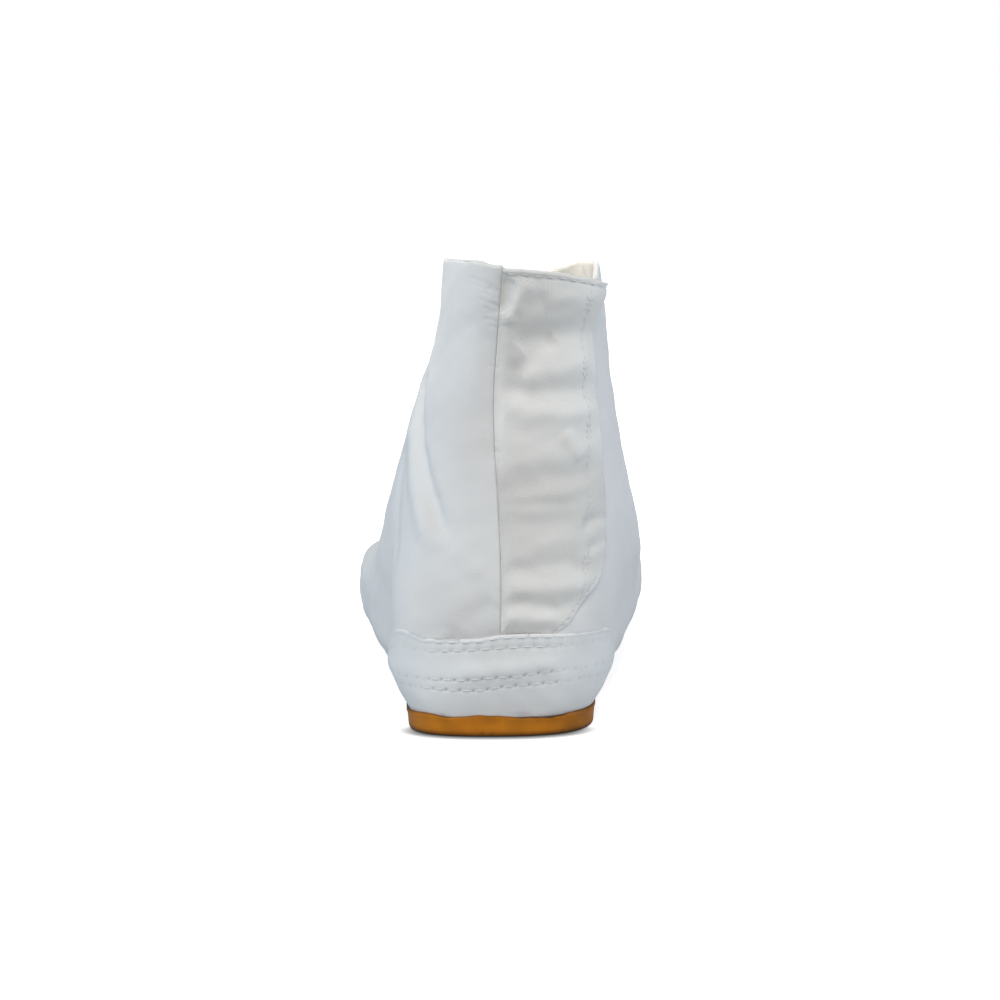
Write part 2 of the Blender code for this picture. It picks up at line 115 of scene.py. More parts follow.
# the band's four rows of stitches: phase, how dark the painted shade in the needle holes is, and the row as (distance,
# level)
BAND_ROWS = (
    (0.0, 0.20, ((-40, 0.290), (-34, 0.307), (-25, 0.296), (-18, 0.299), (-7.5, 0.304), (0.5, 0.315), (9, 0.3165), (19, 0.313), (40, 0.307), (47, 0.282))),
    (0.5, 0.35, ((-41, 0.258), (-34, 0.272), (-25, 0.270), (-15, 0.276), (-5.5, 0.284), (1.5, 0.288), (9, 0.291), (14.5, 0.289), (24, 0.288), (40, 0.282), (48.5, 0.258))),
    (0.1, 0.85, ((-43.5, 0.192), (-30, 0.186), (-18, 0.188), (-10, 0.192), (-1.5, 0.200), (7, 0.205), (11, 0.212), (18, 0.216), (34, 0.216), (50.5, 0.205))),
    (0.6, 0.85, ((-44, 0.160), (-30, 0.156), (-16, 0.155), (-6, 0.156), (0, 0.164), (4, 0.171), (12, 0.176), (24, 0.180), (40, 0.180), (52, 0.168))),
)
# dirt rubbed into the cloth above the rubber: distance, height over the foot, half width, half height, strength
SMUDGES = ((-27.0, 2.4, 3.2, 0.9, 0.24), (-13.6, 1.9, 2.0, 0.8, 0.24), (8.6, 2.4, 3.8, 1.1, 0.26), (-33.0, 2.6, 3.0, 1.4, 0.14), (22.0, 2.2, 5.0, 1.3, 0.10), (31.0, 4.6, 6.0, 2.0, 0.05))
# top edge of the rubber round the heel: distance from the seam, level
SOLE_EDGES = ((-56.0, 0.042), (-46.0, 0.020), (-38.0, 0.018), (-31.5, 0.030), (-20.5, 0.044), (-10.5, 0.030), (-3.5, 0.046), (4.5, 0.040), (11.0, 0.028), (17.0, 0.024),
              (20.5, 0.018), (24.0, 0.022), (28.5, 0.042), (36.0, 0.044), (43.5, 0.050), (54.0, 0.042))

# ---- creases, listed one by one: height (ridges up, troughs down), half width, and a line in millimetres
# "back" lines are (x, z) as seen from behind, "lat" and "med" lines are (y, z) as seen from that side,
# "top" lines are (x, y) as seen from above
CREASE = ("seen_from", "height", "width", "line")
CREASES = (
    # back flap, from the hem down
    ("back", 1.15, 4.2, ((12.0, 139.6), (22.0, 139.5), (32.0, 139.8))),
    ("back", -1.80, 4.2, ((3.0, 124.6), (7.4, 126.2), (11.8, 127.3), (18.8, 127.9), (31.0, 128.9))),
    ("back", 1.35, 2.6, ((9.2, 145.6), (5.8, 139.5), (3.4, 134.6), (1.8, 130.0))),
    ("back", -1.20, 2.4, ((2.8, 146.0), (2.2, 140.0), (0.6, 134.0))),
    ("back", -0.90, 3.0, ((3.4, 114.1), (8.5, 119.3), (13.3, 123.4), (17.5, 126.3))),
    ("back", 1.50, 4.6, ((5.0, 112.2), (12.0, 114.2), (16.0, 115.4), (22.0, 116.4), (30.7, 116.6))),
    ("back", -0.36, 2.6, ((-0.6, 110.6), (5.9, 109.9), (14.0, 110.2), (23.6, 109.9), (31.4, 110.2))),
    ("back", 1.50, 4.0, ((-0.8, 103.5), (9.2, 102.5), (18.8, 101.9), (32.0, 102.2))),
    ("back", 0.70, 2.6, ((19.0, 96.5), (22.0, 92.0), (25.5, 87.0))),
    ("back", -1.30, 4.6, ((-0.5, 80.6), (16.8, 82.4), (26.8, 83.6), (32.6, 84.5))),
    ("back", 0.30, 2.0, ((12.4, 77.1), (20.6, 78.3), (29.1, 78.8))),
    ("back", -0.50, 2.0, ((-0.5, 74.2), (14.0, 73.9), (26.8, 74.2))),
    ("back", -1.00, 2.0, ((25.2, 67.1), (30.4, 68.1), (34.6, 69.1))),
    ("back", -0.60, 4.0, ((-0.5, 69.4), (13.6, 67.4), (24.0, 68.6))),
    ("back", 0.35, 2.6, ((8.3, 61.6), (15.6, 62.4), (25.8, 62.6))),
    ("back", -0.70, 1.8, ((27.2, 59.1), (31.0, 60.4), (34.2, 61.3))),
    ("back", -1.10, 2.8, ((0.3, 54.0), (12.4, 54.6), (19.4, 54.9), (27.8, 53.0))),
    ("back", 1.00, 3.0, ((0.3, 48.2), (18.8, 47.3), (29.7, 49.6))),
    ("back", -1.00, 2.8, ((0.5, 44.1), (9.1, 42.8), (17.2, 41.6), (23.6, 42.8), (28.4, 45.7))),
    ("back", 0.70, 2.6, ((0.5, 38.7), (9.1, 38.0), (18.8, 38.7))),
    ("back", -0.55, 3.2, ((-0.5, 33.7), (9.1, 33.1), (18.1, 33.7))),
    # lateral panel: the long fold and the valley beside it
    ("back", 1.80, 4.4, ((-27.2, 103.0), (-28.2, 95.0), (-28.3, 84.0), (-26.2, 72.6), (-23.2, 64.2), (-19.6, 58.4))),
    ("back", -2.30, 3.0, ((-23.6, 114.0), (-25.6, 108.0), (-26.9, 99.2), (-26.7, 91.0), (-25.1, 82.0), (-22.2, 73.6), (-19.2, 66.6), (-16.4, 61.6))),
    ("back", -1.00, 4.0, ((-31.4, 89.7), (-33.1, 78.6), (-34.1, 61.8), (-34.1, 50.4))),
    ("back", 0.50, 3.0, ((-15.9, 60.5), (-10.8, 55.4), (-4.7, 52.5))),
    ("back", -0.70, 3.4, ((-14.0, 36.5), (-8.0, 40.0), (-2.0, 45.0))),
    ("back", -1.20, 4.4, ((-19.0, 31.0), (-9.0, 31.8), (1.0, 32.6))),
    # lateral side: ankle bend, instep and forefoot drape
    ("lat", -1.8, 4.4, ((112, 99), (98, 90), (84, 85), (66, 88))),
    ("lat", 1.4, 4.4, ((118, 88), (103, 81), (88, 77), (70, 79))),
    ("lat", -1.2, 4.5, ((126, 79), (112, 71), (96, 67), (80, 70))),
    ("lat", 0.8, 5.0, ((138, 66), (124, 57), (108, 52), (92, 54))),
    ("lat", -0.9, 6.0, ((156, 54), (146, 44), (132, 37), (116, 36))),
    ("lat", 0.8, 7.0, ((176, 44), (168, 34), (156, 26), (142, 22))),
    ("lat", -0.8, 5.0, ((196, 38), (190, 30), (180, 22), (168, 18))),
    ("lat", -0.7, 5.0, ((60, 128), (72, 120), (84, 116), (98, 118))),
    # medial side
    ("med", -1.9, 4.2, ((112, 97), (98, 88), (84, 84), (68, 87))),
    ("med", 1.5, 4.2, ((120, 86), (104, 79), (90, 75), (74, 77))),
    ("med", -1.7, 4.2, ((130, 75), (114, 68), (98, 64), (82, 66))),
    ("med", 1.3, 5.0, ((146, 61), (130, 52), (112, 47), (94, 48))),
    ("med", -1.4, 5.0, ((166, 51), (152, 42), (136, 36), (118, 34))),
    ("med", 0.7, 7.0, ((190, 42), (178, 33), (162, 27), (146, 24))),
    ("med", -0.7, 5.0, ((212, 38), (204, 30), (192, 23), (178, 19))),
    ("med", -1.0, 4.4, ((66, 122), (76, 116), (88, 112), (102, 114))),
    ("med", -0.8, 3.6, ((74, 136), (84, 131), (96, 130))),
    ("med", 0.9, 4.6, ((72, 108), (86, 104), (102, 107))),
    ("med", -0.9, 4.0, ((88, 58), (104, 44), (112, 30))),
    # instep and vamp, from above
    ("top", -1.3, 4.5, ((-22, 116), (-6, 124), (8, 126), (22, 124), (34, 114))),
    ("top", 1.0, 5.0, ((-26, 126), (-8, 136), (8, 138), (26, 135), (38, 124))),
    ("top", -1.1, 4.5, ((-30, 138), (-12, 149), (8, 152), (28, 148), (40, 137))),
    ("top", 0.7, 6.0, ((-32, 152), (-12, 164), (10, 167), (32, 162), (43, 150))),
    ("top", -0.8, 6.0, ((-30, 172), (-14, 182), (4, 185))),
    ("top", -0.7, 5.0, ((16, 190), (28, 186), (40, 176))),
)
# painted shade down the flap: height, share
FLAP_PAINTED_SHADE = ((0, 0.05), (38, 0.05), (48, 0.08), (57, 0.135), (68, 0.165), (79, 0.205), (90, 0.055), (101, 0.0), (117, 0.0), (126, 0.045), (136, 0.085), (160, 0.085))
# painted shade in patches on the upper: distance from the back seam, height, half sizes of the place, how dark
UPPER_PAINTED_SHADE = ((-9.0, 97.0, 11.0, 17.0, 0.065), (-22.0, 43.0, 10.0, 10.0, 0.060), (38.0, 36.0, 9.0, 7.0, 0.060))
# short pulls in the cloth beside the centre-back seam: height of the outer end, reach, drop
PULLS = ((146.8, 11.0, 6.0), (145.9, 7.2, 4.2), (144.0, 8.6, 4.0), (143.1, 4.6, 2.2), (141.4, 6.4, 2.6), (139.6, 8.0, 3.6),
         (138.3, 4.2, 1.6), (136.6, 6.2, 2.2), (135.0, 5.2, 1.2), (132.6, 6.4, 1.0), (130.6, 4.6, 1.4),
         (118.0, 5.0, 1.6), (95.6, 5.4, 2.6), (93.0, 7.0, 2.8), (91.4, 4.4, 1.6), (88.8, 5.6, 2.4))


# ---- curve helpers ----------------------------------------------------------
def smooth(xs, ys, x):
    """Monotone cubic through a table's two columns."""
    xs, ys, x = np.asarray(xs, float), np.asarray(ys, float), np.asarray(x, float)
    h = np.diff(xs)
    d = np.diff(ys) / h
    m = np.r_[d[0], np.zeros(len(xs) - 2), d[-1]]
    for i in range(1, len(xs) - 1):
        if d[i - 1] * d[i] > 0:
            wa, wb = 2 * h[i] + h[i - 1], h[i] + 2 * h[i - 1]
            m[i] = (wa + wb) / (wa / d[i - 1] + wb / d[i])
    k = np.clip(np.searchsorted(xs, x) - 1, 0, len(xs) - 2)
    t = np.clip((x - xs[k]) / h[k], 0, 1)
    return ((1 + 2 * t) * (1 - t) ** 2 * ys[k] + t * (1 - t) ** 2 * h[k] * m[k]
            + t * t * (3 - 2 * t) * ys[k + 1] + t * t * (t - 1) * h[k] * m[k + 1])


def ease(t):
    t = np.clip(t, 0, 1)
    return t * t * (3 - 2 * t)


def rounded(d, r, n):
    return (1 - (1 - np.clip(np.asarray(d, float) / r, 0, 1)) ** n) ** (1.0 / n)


def lengths(path):
    return np.r_[0, np.cumsum(np.linalg.norm(np.diff(path, axis=0), axis=1))]


def along(path, marks):
    """Points of a polyline at the given parts (0..1) of its length."""
    step = lengths(path)
    return np.stack([np.interp(marks * step[-1], step, path[:, i]) for i in range(path.shape[1])], 1)


def unit(v):
    return v / (np.linalg.norm(v, axis=-1, keepdims=True) + 1e-12)


def waves(p, seed, count, low, high):
    """A soft uneven field of about -1..1: seeded sine waves with wavelengths between low and high."""
    rng = np.random.default_rng(seed)
    total = np.zeros(p.shape[:-1])
    for _ in range(count):
        k = unit(rng.normal(size=3)) * 2 * np.pi / rng.uniform(low, high)
        total += np.sin(p @ k + rng.uniform(0, 2 * np.pi))
    return total / math.sqrt(count)


# ---- the last ---------------------------------------------------------------
def section(level, grow=0.0, grow_cleft=None):
    r = {name: float(smooth(COLUMN["level"], COLUMN[name], level)) for name in SECTION}
    inside = grow if grow_cleft is None else grow_cleft
    r["back_y"] -= grow
    for name in ("tip_med", "tip_lat", "back_lat", "back_med", "mid_lat", "mid_med", "ball_lat", "ball_med"):
        r[name] += grow
    r["web"] += inside
    r["gap"] -= inside
    return r


def ring_height(r, y, which):
    front = max(r["tip_med"], r["web"])
    u = np.clip((y - r["back_y"]) / (front - r["back_y"]), 0, 1)
    spring = np.clip((y - SPRING_START) / (front - SPRING_START + 1e-6), 0, 1) ** 2
    shaft = ease((r["level"] - 0.15) / 0.35)
    z = r["back_z"] + (r["front_z"] - r["back_z"]) * ((1 - shaft) * spring + shaft * ease(u))
    waist = np.clip((y - ARCH_FROM) / (ARCH_TO - ARCH_FROM), 0, 1)
    z = z + ARCH * np.sin(np.pi * waist) ** 2 * (1 - ease(r["level"] / 0.25))
    first, last = COLLAR["y"][0], COLLAR["y"][-1]
    edge = smooth(COLLAR["y"], COLLAR[which], first + u * (last - first))
    plain = COLUMN["back_z"][-1] + (COLUMN["front_z"][-1] - COLUMN["back_z"][-1]) * ease(u)
    return z + ease((r["level"] - 0.80) / 0.20) * (edge - plain)


def side_path(r, which, n=420):
    tip, back = r["tip_" + which], r["back_y"]
    y = back + (tip - back) * (1 - np.cos(np.linspace(0, np.pi, n))) / 2
    u = (y - back) / (tip - back)
    w = smooth((0, 0.14, 0.38, 0.64, 1.0), (r["back_" + which] * 0.965, r["back_" + which], r["mid_" + which],
                                            r["ball_" + which], r["ball_" + which] * 0.97), u)
    medial = which == "med"
    low = 1 - ease(r["level"] / 0.2)
    square = 2.25 + 0.3 * low + (0.9 * ease((r["level"] - 0.35) / 0.3) if medial else 0.0)
    heel = r["round_back"] * (1.1 if medial else 0.85 - 0.1 * low)
    toe = min(r["round_front"] * (0.86 if medial else 1.0), 0.9 * (tip - back))
    full = rounded(y - back, heel, square) * rounded(tip - y, toe, 2.3)
    centre = r["seam_x"] + (r["lobe_" + which] - r["seam_x"]) * ease(u)
    x = centre + (w - centre) * full if medial else centre - (w + centre) * full
    return np.stack([x, y, ring_height(r, y, which)], 1)


def cleft_path(r, which, n=160):
    tip, web, lobe = r["tip_" + which], r["web"], r["lobe_" + which]
    toward = 1.0 if which == "lat" else -1.0
    depth = max(tip - web, 0.0)
    t = np.linspace(0, 1, n)
    valley = np.stack([lobe + (CLEFT_X - lobe) * t, tip + (web - tip) * (1 - np.cos(np.pi * t)) / 2, 0 * t], 1)
    if depth < 0.5:
        slot = valley
    else:
        corner = 16.0 + 26.0 * ease((r["level"] - 0.2) / 0.2)
        reach = abs(CLEFT_X - toward * r["gap"] - lobe)
        y = tip - depth * (1 - np.cos(t * np.pi / 2))
        wall = np.stack([lobe + toward * reach * rounded(tip - y, corner, 2.4), y, 0 * t], 1)
        root = np.linspace(wall[-1], (CLEFT_X, web, 0.0), 12)[1:]
        slot = np.vstack([wall, root])
    marks = np.linspace(0, 1, n)
    soft = ease((r["level"] - 0.28) / 0.14)
    path = (1 - soft) * along(slot, marks) + soft * along(valley, marks)
    path[:, 2] = ring_height(r, path[:, 1], which)
    return path


SIDE, CLEFT = 170, 46                     # columns of a ring on each side and in each half of the split
WEB = SIDE + CLEFT                        # the column at the root of the split
NEAR = (0.5, 1.2, 2.1, SLIT_FROM, SLIT_TO, 6.2)  # first medial columns, distance from the back seam


def spaced(n):
    """Marks along a side, closer together near the back."""
    t = np.linspace(0, 1, n + 1)
    return 0.45 * t + 0.55 * t * t


def ring(level, grow=0.0, grow_cleft=None):
    """A closed level: centre back, lateral side, lateral pocket, root of the split, big-toe pocket, medial side."""
    r = section(level, grow, grow_cleft)
    lateral = along(side_path(r, "lat"), spaced(SIDE)[:-1])
    pocket_lat = along(cleft_path(r, "lat"), np.linspace(0, 1, CLEFT + 1)[:-1])
    pocket_med = along(cleft_path(r, "med")[::-1], np.linspace(0, 1, CLEFT + 1)[:-1])
    path = side_path(r, "med")
    near = np.array(NEAR) / lengths(path)[-1]
    rest = near[-1] + (1 - near[-1]) * spaced(SIDE - len(near))[1:]
    medial = along(path, np.r_[near, rest])[::-1]
    return np.vstack([lateral, pocket_lat, pocket_med, medial])


def sole_base(y):
    """Lift of the sole's underside: toe spring ahead of the ball, a shallow arch under the waist."""
    return ring_height(section(0.0), np.asarray(y, float), "lat") - FEATHER_Z


def cloth_at(levels, distance):
    """Points of the upper's outer face: one level for each row, distances along it from the back seam (medial positive)."""
    rows = []
    for level, d in zip(levels, distance):
        r = section(level)
        lat, med = side_path(r, "lat"), side_path(r, "med")
        step = np.r_[-lengths(lat)[::-1][:-1], 0.0, lengths(med)[1:]]
        path = np.vstack([lat[::-1][:-1], med[:1], med[1:]])
        rows.append(np.stack([np.interp(d, step, path[:, i]) for i in range(3)], 1))
    return np.array(rows)


def soften(p, rows):
    """Evens out a grid along its columns; the first and last rows stay."""
    pad = 3 * rows
    k = np.exp(-0.5 * (np.arange(-pad, pad + 1) / rows) ** 2)
    k /= k.sum()
    q = np.concatenate([2 * p[:1] - p[pad:0:-1], p, 2 * p[-1:] - p[-2:-pad - 2:-1]])
    return sum(w * q[i:i + len(p)] for i, w in enumerate(k))


def normals(p, closed):
    """Outward normals of a grid: closed rings run from the back to the lateral side, open sheets from lateral to medial."""
    up = np.gradient(p, axis=0)
    if closed:
        return unit(np.cross(up, np.roll(p, -1, 1) - np.roll(p, 1, 1)))
    return unit(np.cross(np.gradient(p, axis=1), up))


# ---- creases ----------------------------------------------------------------
SEEN = {  # axes of the view, and which part of the surface faces it
    "back": ((0, 2), lambda p, n: (n[:, 1] < -0.04) & (p[:, 1] < 100)),
    "lat": ((1, 2), lambda p, n: n[:, 0] < -0.15),
    "med": ((1, 2), lambda p, n: n[:, 0] > 0.15),
    "top": ((0, 1), lambda p, n: (n[:, 2] > 0.12) & (p[:, 1] > 90)),
}


def dense(line, step=0.8):
    line = np.array(line, float)
    n = max(int(lengths(line)[-1] / step), 6)
    marks = lengths(line) / lengths(line)[-1]
    t = np.linspace(0, 1, n)
    return np.stack([smooth(marks, line[:, i], t) if len(line) > 2 else np.interp(t, marks, line[:, i]) for i in range(line.shape[1])], 1)


def laid(view, line, p, n):
    """A listed line carried onto a surface."""
    axes, facing = SEEN[view]
    keep = np.flatnonzero(facing(p, n))
    flat = p[keep][:, axes]
    out = np.array([p[keep[np.argmin(((flat - q) ** 2).sum(1))]] for q in dense(line)])
    for _ in range(3):
        out[1:-1] = (out[:-2] + 2 * out[1:-1] + out[2:]) / 4
    return out


def press(p, line, height, width, taper=0.22):
    """Height of one crease at each point: a soft round profile that fades at both ends of its line."""
    out = np.zeros(len(p))
    near = np.flatnonzero(((p > line.min(0) - 3 * width) & (p < line.max(0) + 3 * width)).all(1))
    for part in np.array_split(near, max(len(near) // 4000, 1)):
        if len(part):
            d2 = ((p[part][:, None, :] - line[None]) ** 2).sum(2)
            k = d2.argmin(1)
            t = k / (len(line) - 1)
            out[part] = height * np.exp(-d2[np.arange(len(part)), k] / width ** 2) * ease(t / taper + 0.15) * ease((1 - t) / taper + 0.15)
    return out


# ---- meshes -----------------------------------------------------------------
def add_piece(name, points, faces, material, cloth=None, shade=None, replaces=()):
    mesh = bpy.data.meshes.new(name)
    points = (np.asarray(points, float).reshape(-1, 3) + SHIFT) * MM
    mesh.from_pydata(points.tolist(), [], [tuple(int(i) for i in f) for f in faces])
    mesh.polygons.foreach_set("use_smooth", np.ones(len(mesh.polygons), bool))
    if cloth is not None:
        layer = mesh.attributes.new("cloth", "FLOAT_VECTOR", "POINT")
        flat = np.zeros((len(points), 3))
        flat[:, :2] = np.asarray(cloth).reshape(-1, 2)
        layer.data.foreach_set("vector", flat.ravel())
    layer = mesh.color_attributes.new("shade", "FLOAT_COLOR", "POINT")
    tone = np.ones((len(points), 4))
    if shade is not None:
        shade = np.asarray(shade, float)
        tone[:, :3] = shade.reshape(-1, 3) if shade.shape[-1] == 3 else shade.reshape(-1, 1)
    layer.data.foreach_set("color", tone.ravel())
    mesh.materials.append(material)
    mesh.update()
    obj = bpy.data.objects.new(name, mesh)
    bpy.context.scene.collection.objects.link(obj)
    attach(obj, "root")
    if replaces:
        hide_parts(*replaces)
    return obj


def quads(rows, cols, closed, flip=False, start=0):
    i, j = np.meshgrid(np.arange(rows - 1), np.arange(cols if closed else cols - 1), indexing="ij")
    k = (j + 1) % cols
    f = np.stack([i * cols + j, i * cols + k, (i + 1) * cols + k, (i + 1) * cols + j], -1).reshape(-1, 4) + start
    return f[:, ::-1] if flip else f


def closed_sheet(outer, inner):
    """A thin closed body from two grids of the same size: outer face, inner face and the rim between them."""
    rows, cols = outer.shape[:2]
    count = rows * cols
    faces = [quads(rows, cols, False), quads(rows, cols, False, True, count)]
    grid = np.arange(count).reshape(rows, cols)
    loop = np.r_[grid[0, :], grid[1:, -1], grid[-1, -2::-1], grid[-2:0:-1, 0]]
    nxt = np.roll(loop, -1)
    rim = np.stack([nxt, loop, loop + count, nxt + count], 1)
    return np.vstack([outer.reshape(-1, 3), inner.reshape(-1, 3)]), np.vstack(faces + [rim])


def march(path, out, pitch, start=0.5):
    """Even places along a line on a surface: points, directions and normals."""
    step = lengths(path)
    s = np.arange(pitch * start, step[-1] - pitch * 0.3, pitch)
    at = np.stack([np.interp(s, step, path[:, i]) for i in range(3)], 1)
    ahead = np.stack([np.interp(s + 0.3, step, path[:, i]) - np.interp(s - 0.3, step, path[:, i]) for i in range(3)], 1)
    n = unit(np.stack([np.interp(s, step, out[:, i]) for i in range(3)], 1))
    t = unit(ahead)
    return at, unit(t - n * (t * n).sum(1, keepdims=True)), n


def pillows(at, ahead, out, length, radius):
    """Stitches joined in one mesh: a small pillow of thread at each place, its ends sunk in the cloth."""
    stations, around = 7, 6
    u = np.linspace(-1, 1, stations)
    thick = radius * np.sqrt(np.clip(1 - 0.9 * u ** 4, 0, 1))
    rise = radius * (0.25 - 1.2 * np.abs(u) ** 3)
    a = np.arange(around) * 2 * np.pi / around
    side = np.cross(ahead, out)
    pts = (at[:, None, None] + ahead[:, None, None] * (u * length / 2)[None, :, None, None]
           + out[:, None, None] * (rise[:, None] + thick[:, None] * np.sin(a))[None, :, :, None]
           + side[:, None, None] * (thick[:, None] * np.cos(a))[None, :, :, None])
    one = [tuple(f) for f in quads(stations, around, True)] + [tuple(range(around))[::-1], tuple(range((stations - 1) * around, stations * around))]
    faces = [tuple(i + s * stations * around for i in f) for s in range(len(at)) for f in one]
    return pts.reshape(-1, 3), faces


def joined(parts):
    points, faces, base = [], [], 0
    for p, f in parts:
        points.append(p)
        faces += [tuple(int(i) + base for i in q) for q in f]
        base += len(p)
    return np.vstack(points), faces


def fill(outline, step, margin, height):
    """Triangles inside a closed outline, with inner points on a grid."""
    o = np.asarray(outline)[:, :2]
    gx, gy = np.meshgrid(np.arange(o[:, 0].min(), o[:, 0].max(), step), np.arange(o[:, 1].min(), o[:, 1].max(), step))
    q = np.stack([gx.ravel(), gy.ravel()], 1)
    q = q[inside(q, o)]
    gap = np.array([np.sqrt(((o - p) ** 2).sum(1).min()) for p in q])
    q = q[gap > margin]
    n = len(o)
    verts, _, tris, origin, _, _ = delaunay_2d_cdt([Vector(p) for p in np.vstack([o, q])], [(i, (i + 1) % n) for i in range(n)], [], 1, 1e-5)
    pts = np.array([(v.x, v.y, 0.0) for v in verts])
    pts[:, 2] = height(pts[:, 1])
    for i, source in enumerate(origin):
        rim = [s for s in source if s < n]
        if rim:
            pts[i] = outline[rim[0]]
    return pts, [tuple(t) for t in tris]


def inside(q, o):
    a, b = o, np.roll(o, 1, 0)
    cross = (a[None, :, 1] > q[:, None, 1]) != (b[None, :, 1] > q[:, None, 1])
    x = (b[None, :, 0] - a[None, :, 0]) * (q[:, None, 1] - a[None, :, 1]) / (b[None, :, 1] - a[None, :, 1] + 1e-12) + a[None, :, 0]
    return (cross & (q[:, None, 0] < x)).sum(1) % 2 == 1


# ---- materials --------------------------------------------------------------
def shader(name):
    material = bpy.data.materials.new(name)
    material.use_nodes = True
    tree = material.node_tree
    return material, tree, tree.nodes["Principled BSDF"]


def node(tree, kind, **values):
    n = tree.nodes.new(kind)
    for key, value in values.items():
        if key in n.inputs:
            n.inputs[key].default_value = value
        else:
            setattr(n, key, value)
    return n


def mix(tree, a, b, factor, blend="MIX"):
    """A colour mix; each of the three is a socket or a value."""
    m = tree.nodes.new("ShaderNodeMix")
    m.data_type = "RGBA"
    m.blend_type = blend
    for index, value in ((0, factor), (6, a), (7, b)):
        if isinstance(value, bpy.types.NodeSocket):
            tree.links.new(value, m.inputs[index])
        else:
            m.inputs[index].default_value = value
    return m.outputs[2]


def maths(tree, operation, a, b=0.0, c=0.0):
    m = tree.nodes.new("ShaderNodeMath")
    m.operation = operation
    for index, value in enumerate((a, b, c)):
        if isinstance(value, bpy.types.NodeSocket):
            tree.links.new(value, m.inputs[index])
        else:
            m.inputs[index].default_value = value
    return m.outputs[0]


def cloth_material(name, light, dark, twill, thread_pitch, deep, slubs=0.26):
    """White cotton: diagonal twill over fine threads, faint mottling, and the piece's shade layer of soil and painted
    shade.
    """
    material, tree, principled = shader(name)
    cloth = node(tree, "ShaderNodeAttribute", attribute_name="cloth")
    shade = node(tree, "ShaderNodeVertexColor", layer_name="shade")

    def wave(direction, period, distortion):
        turn = {"DIAGONAL": 10.0, "X": 20.0, "Y": 20.0}[direction]
        w = node(tree, "ShaderNodeTexWave", wave_type="BANDS", bands_direction=direction, Scale=2 * math.pi / (turn * period),
                 Distortion=distortion, Detail=1.0)
        w.inputs["Detail Scale"].default_value = 0.8
        tree.links.new(cloth.outputs["Vector"], w.inputs["Vector"])
        return w.outputs["Fac"]

    rib = wave("DIAGONAL", twill * math.sqrt(2), 0.8)
    warp, weft = wave("X", thread_pitch, 0.5), wave("Y", thread_pitch, 0.5)
    broad = node(tree, "ShaderNodeTexNoise", Scale=0.05, Detail=3.0, Roughness=0.55)
    fine = node(tree, "ShaderNodeTexNoise", Scale=1.3, Detail=4.0, Roughness=0.6)
    for n in (broad, fine):
        tree.links.new(cloth.outputs["Vector"], n.inputs["Vector"])
    stretch = node(tree, "ShaderNodeMapping", Scale=(0.12, 1.5, 1.0))
    tree.links.new(cloth.outputs["Vector"], stretch.inputs["Vector"])
    slub = node(tree, "ShaderNodeTexNoise", Scale=1.0, Detail=3.0, Roughness=0.6)
    tree.links.new(stretch.outputs["Vector"], slub.inputs["Vector"])
    height = maths(tree, "MULTIPLY_ADD", rib, 0.20, maths(tree, "MULTIPLY_ADD", warp, 0.2, maths(tree, "MULTIPLY", weft, 0.25)))
    height = maths(tree, "MULTIPLY_ADD", fine.outputs["Fac"], 0.75, height)
    height = maths(tree, "MULTIPLY_ADD", slub.outputs["Fac"], 0.5, height)
    bump = node(tree, "ShaderNodeBump", Strength=0.55, Distance=deep)
    tree.links.new(height, bump.inputs["Height"])
    tree.links.new(bump.outputs["Normal"], principled.inputs["Normal"])
    colour = mix(tree, (*light, 1), (*dark, 1), broad.outputs["Fac"])
    colour = mix(tree, colour, (0.90, 0.90, 0.91, 1), maths(tree, "MULTIPLY", maths(tree, "SUBTRACT", 1.0, rib), 0.14), "MULTIPLY")
    colour = mix(tree, colour, (0.90, 0.90, 0.91, 1), maths(tree, "MULTIPLY", slub.outputs["Fac"], slubs), "MULTIPLY")
    colour = mix(tree, colour, shade.outputs["Color"], 1.0, "MULTIPLY")
    tree.links.new(colour, principled.inputs["Base Color"])
    tree.links.new(maths(tree, "MULTIPLY_ADD", fine.outputs["Fac"], 0.12, 0.82), principled.inputs["Roughness"])
    principled.inputs["Specular IOR Level"].default_value = 0.25
    principled.inputs["Sheen Weight"].default_value = 0.12
    principled.inputs["Sheen Roughness"].default_value = 0.5
    return material


def thread_material():
    material, tree, principled = shader("cotton_thread")
    place = node(tree, "ShaderNodeTexCoord")
    fine = node(tree, "ShaderNodeTexNoise", Scale=1800.0, Detail=2.0)
    tree.links.new(place.outputs["Object"], fine.inputs["Vector"])
    tree.links.new(mix(tree, (0.70, 0.70, 0.69, 1), (0.58, 0.58, 0.575, 1), fine.outputs["Fac"]), principled.inputs["Base Color"])
    bump = node(tree, "ShaderNodeBump", Strength=0.5, Distance=0.0001)
    tree.links.new(fine.outputs["Fac"], bump.inputs["Height"])
    tree.links.new(bump.outputs["Normal"], principled.inputs["Normal"])
    principled.inputs["Roughness"].default_value = 0.8
    return material


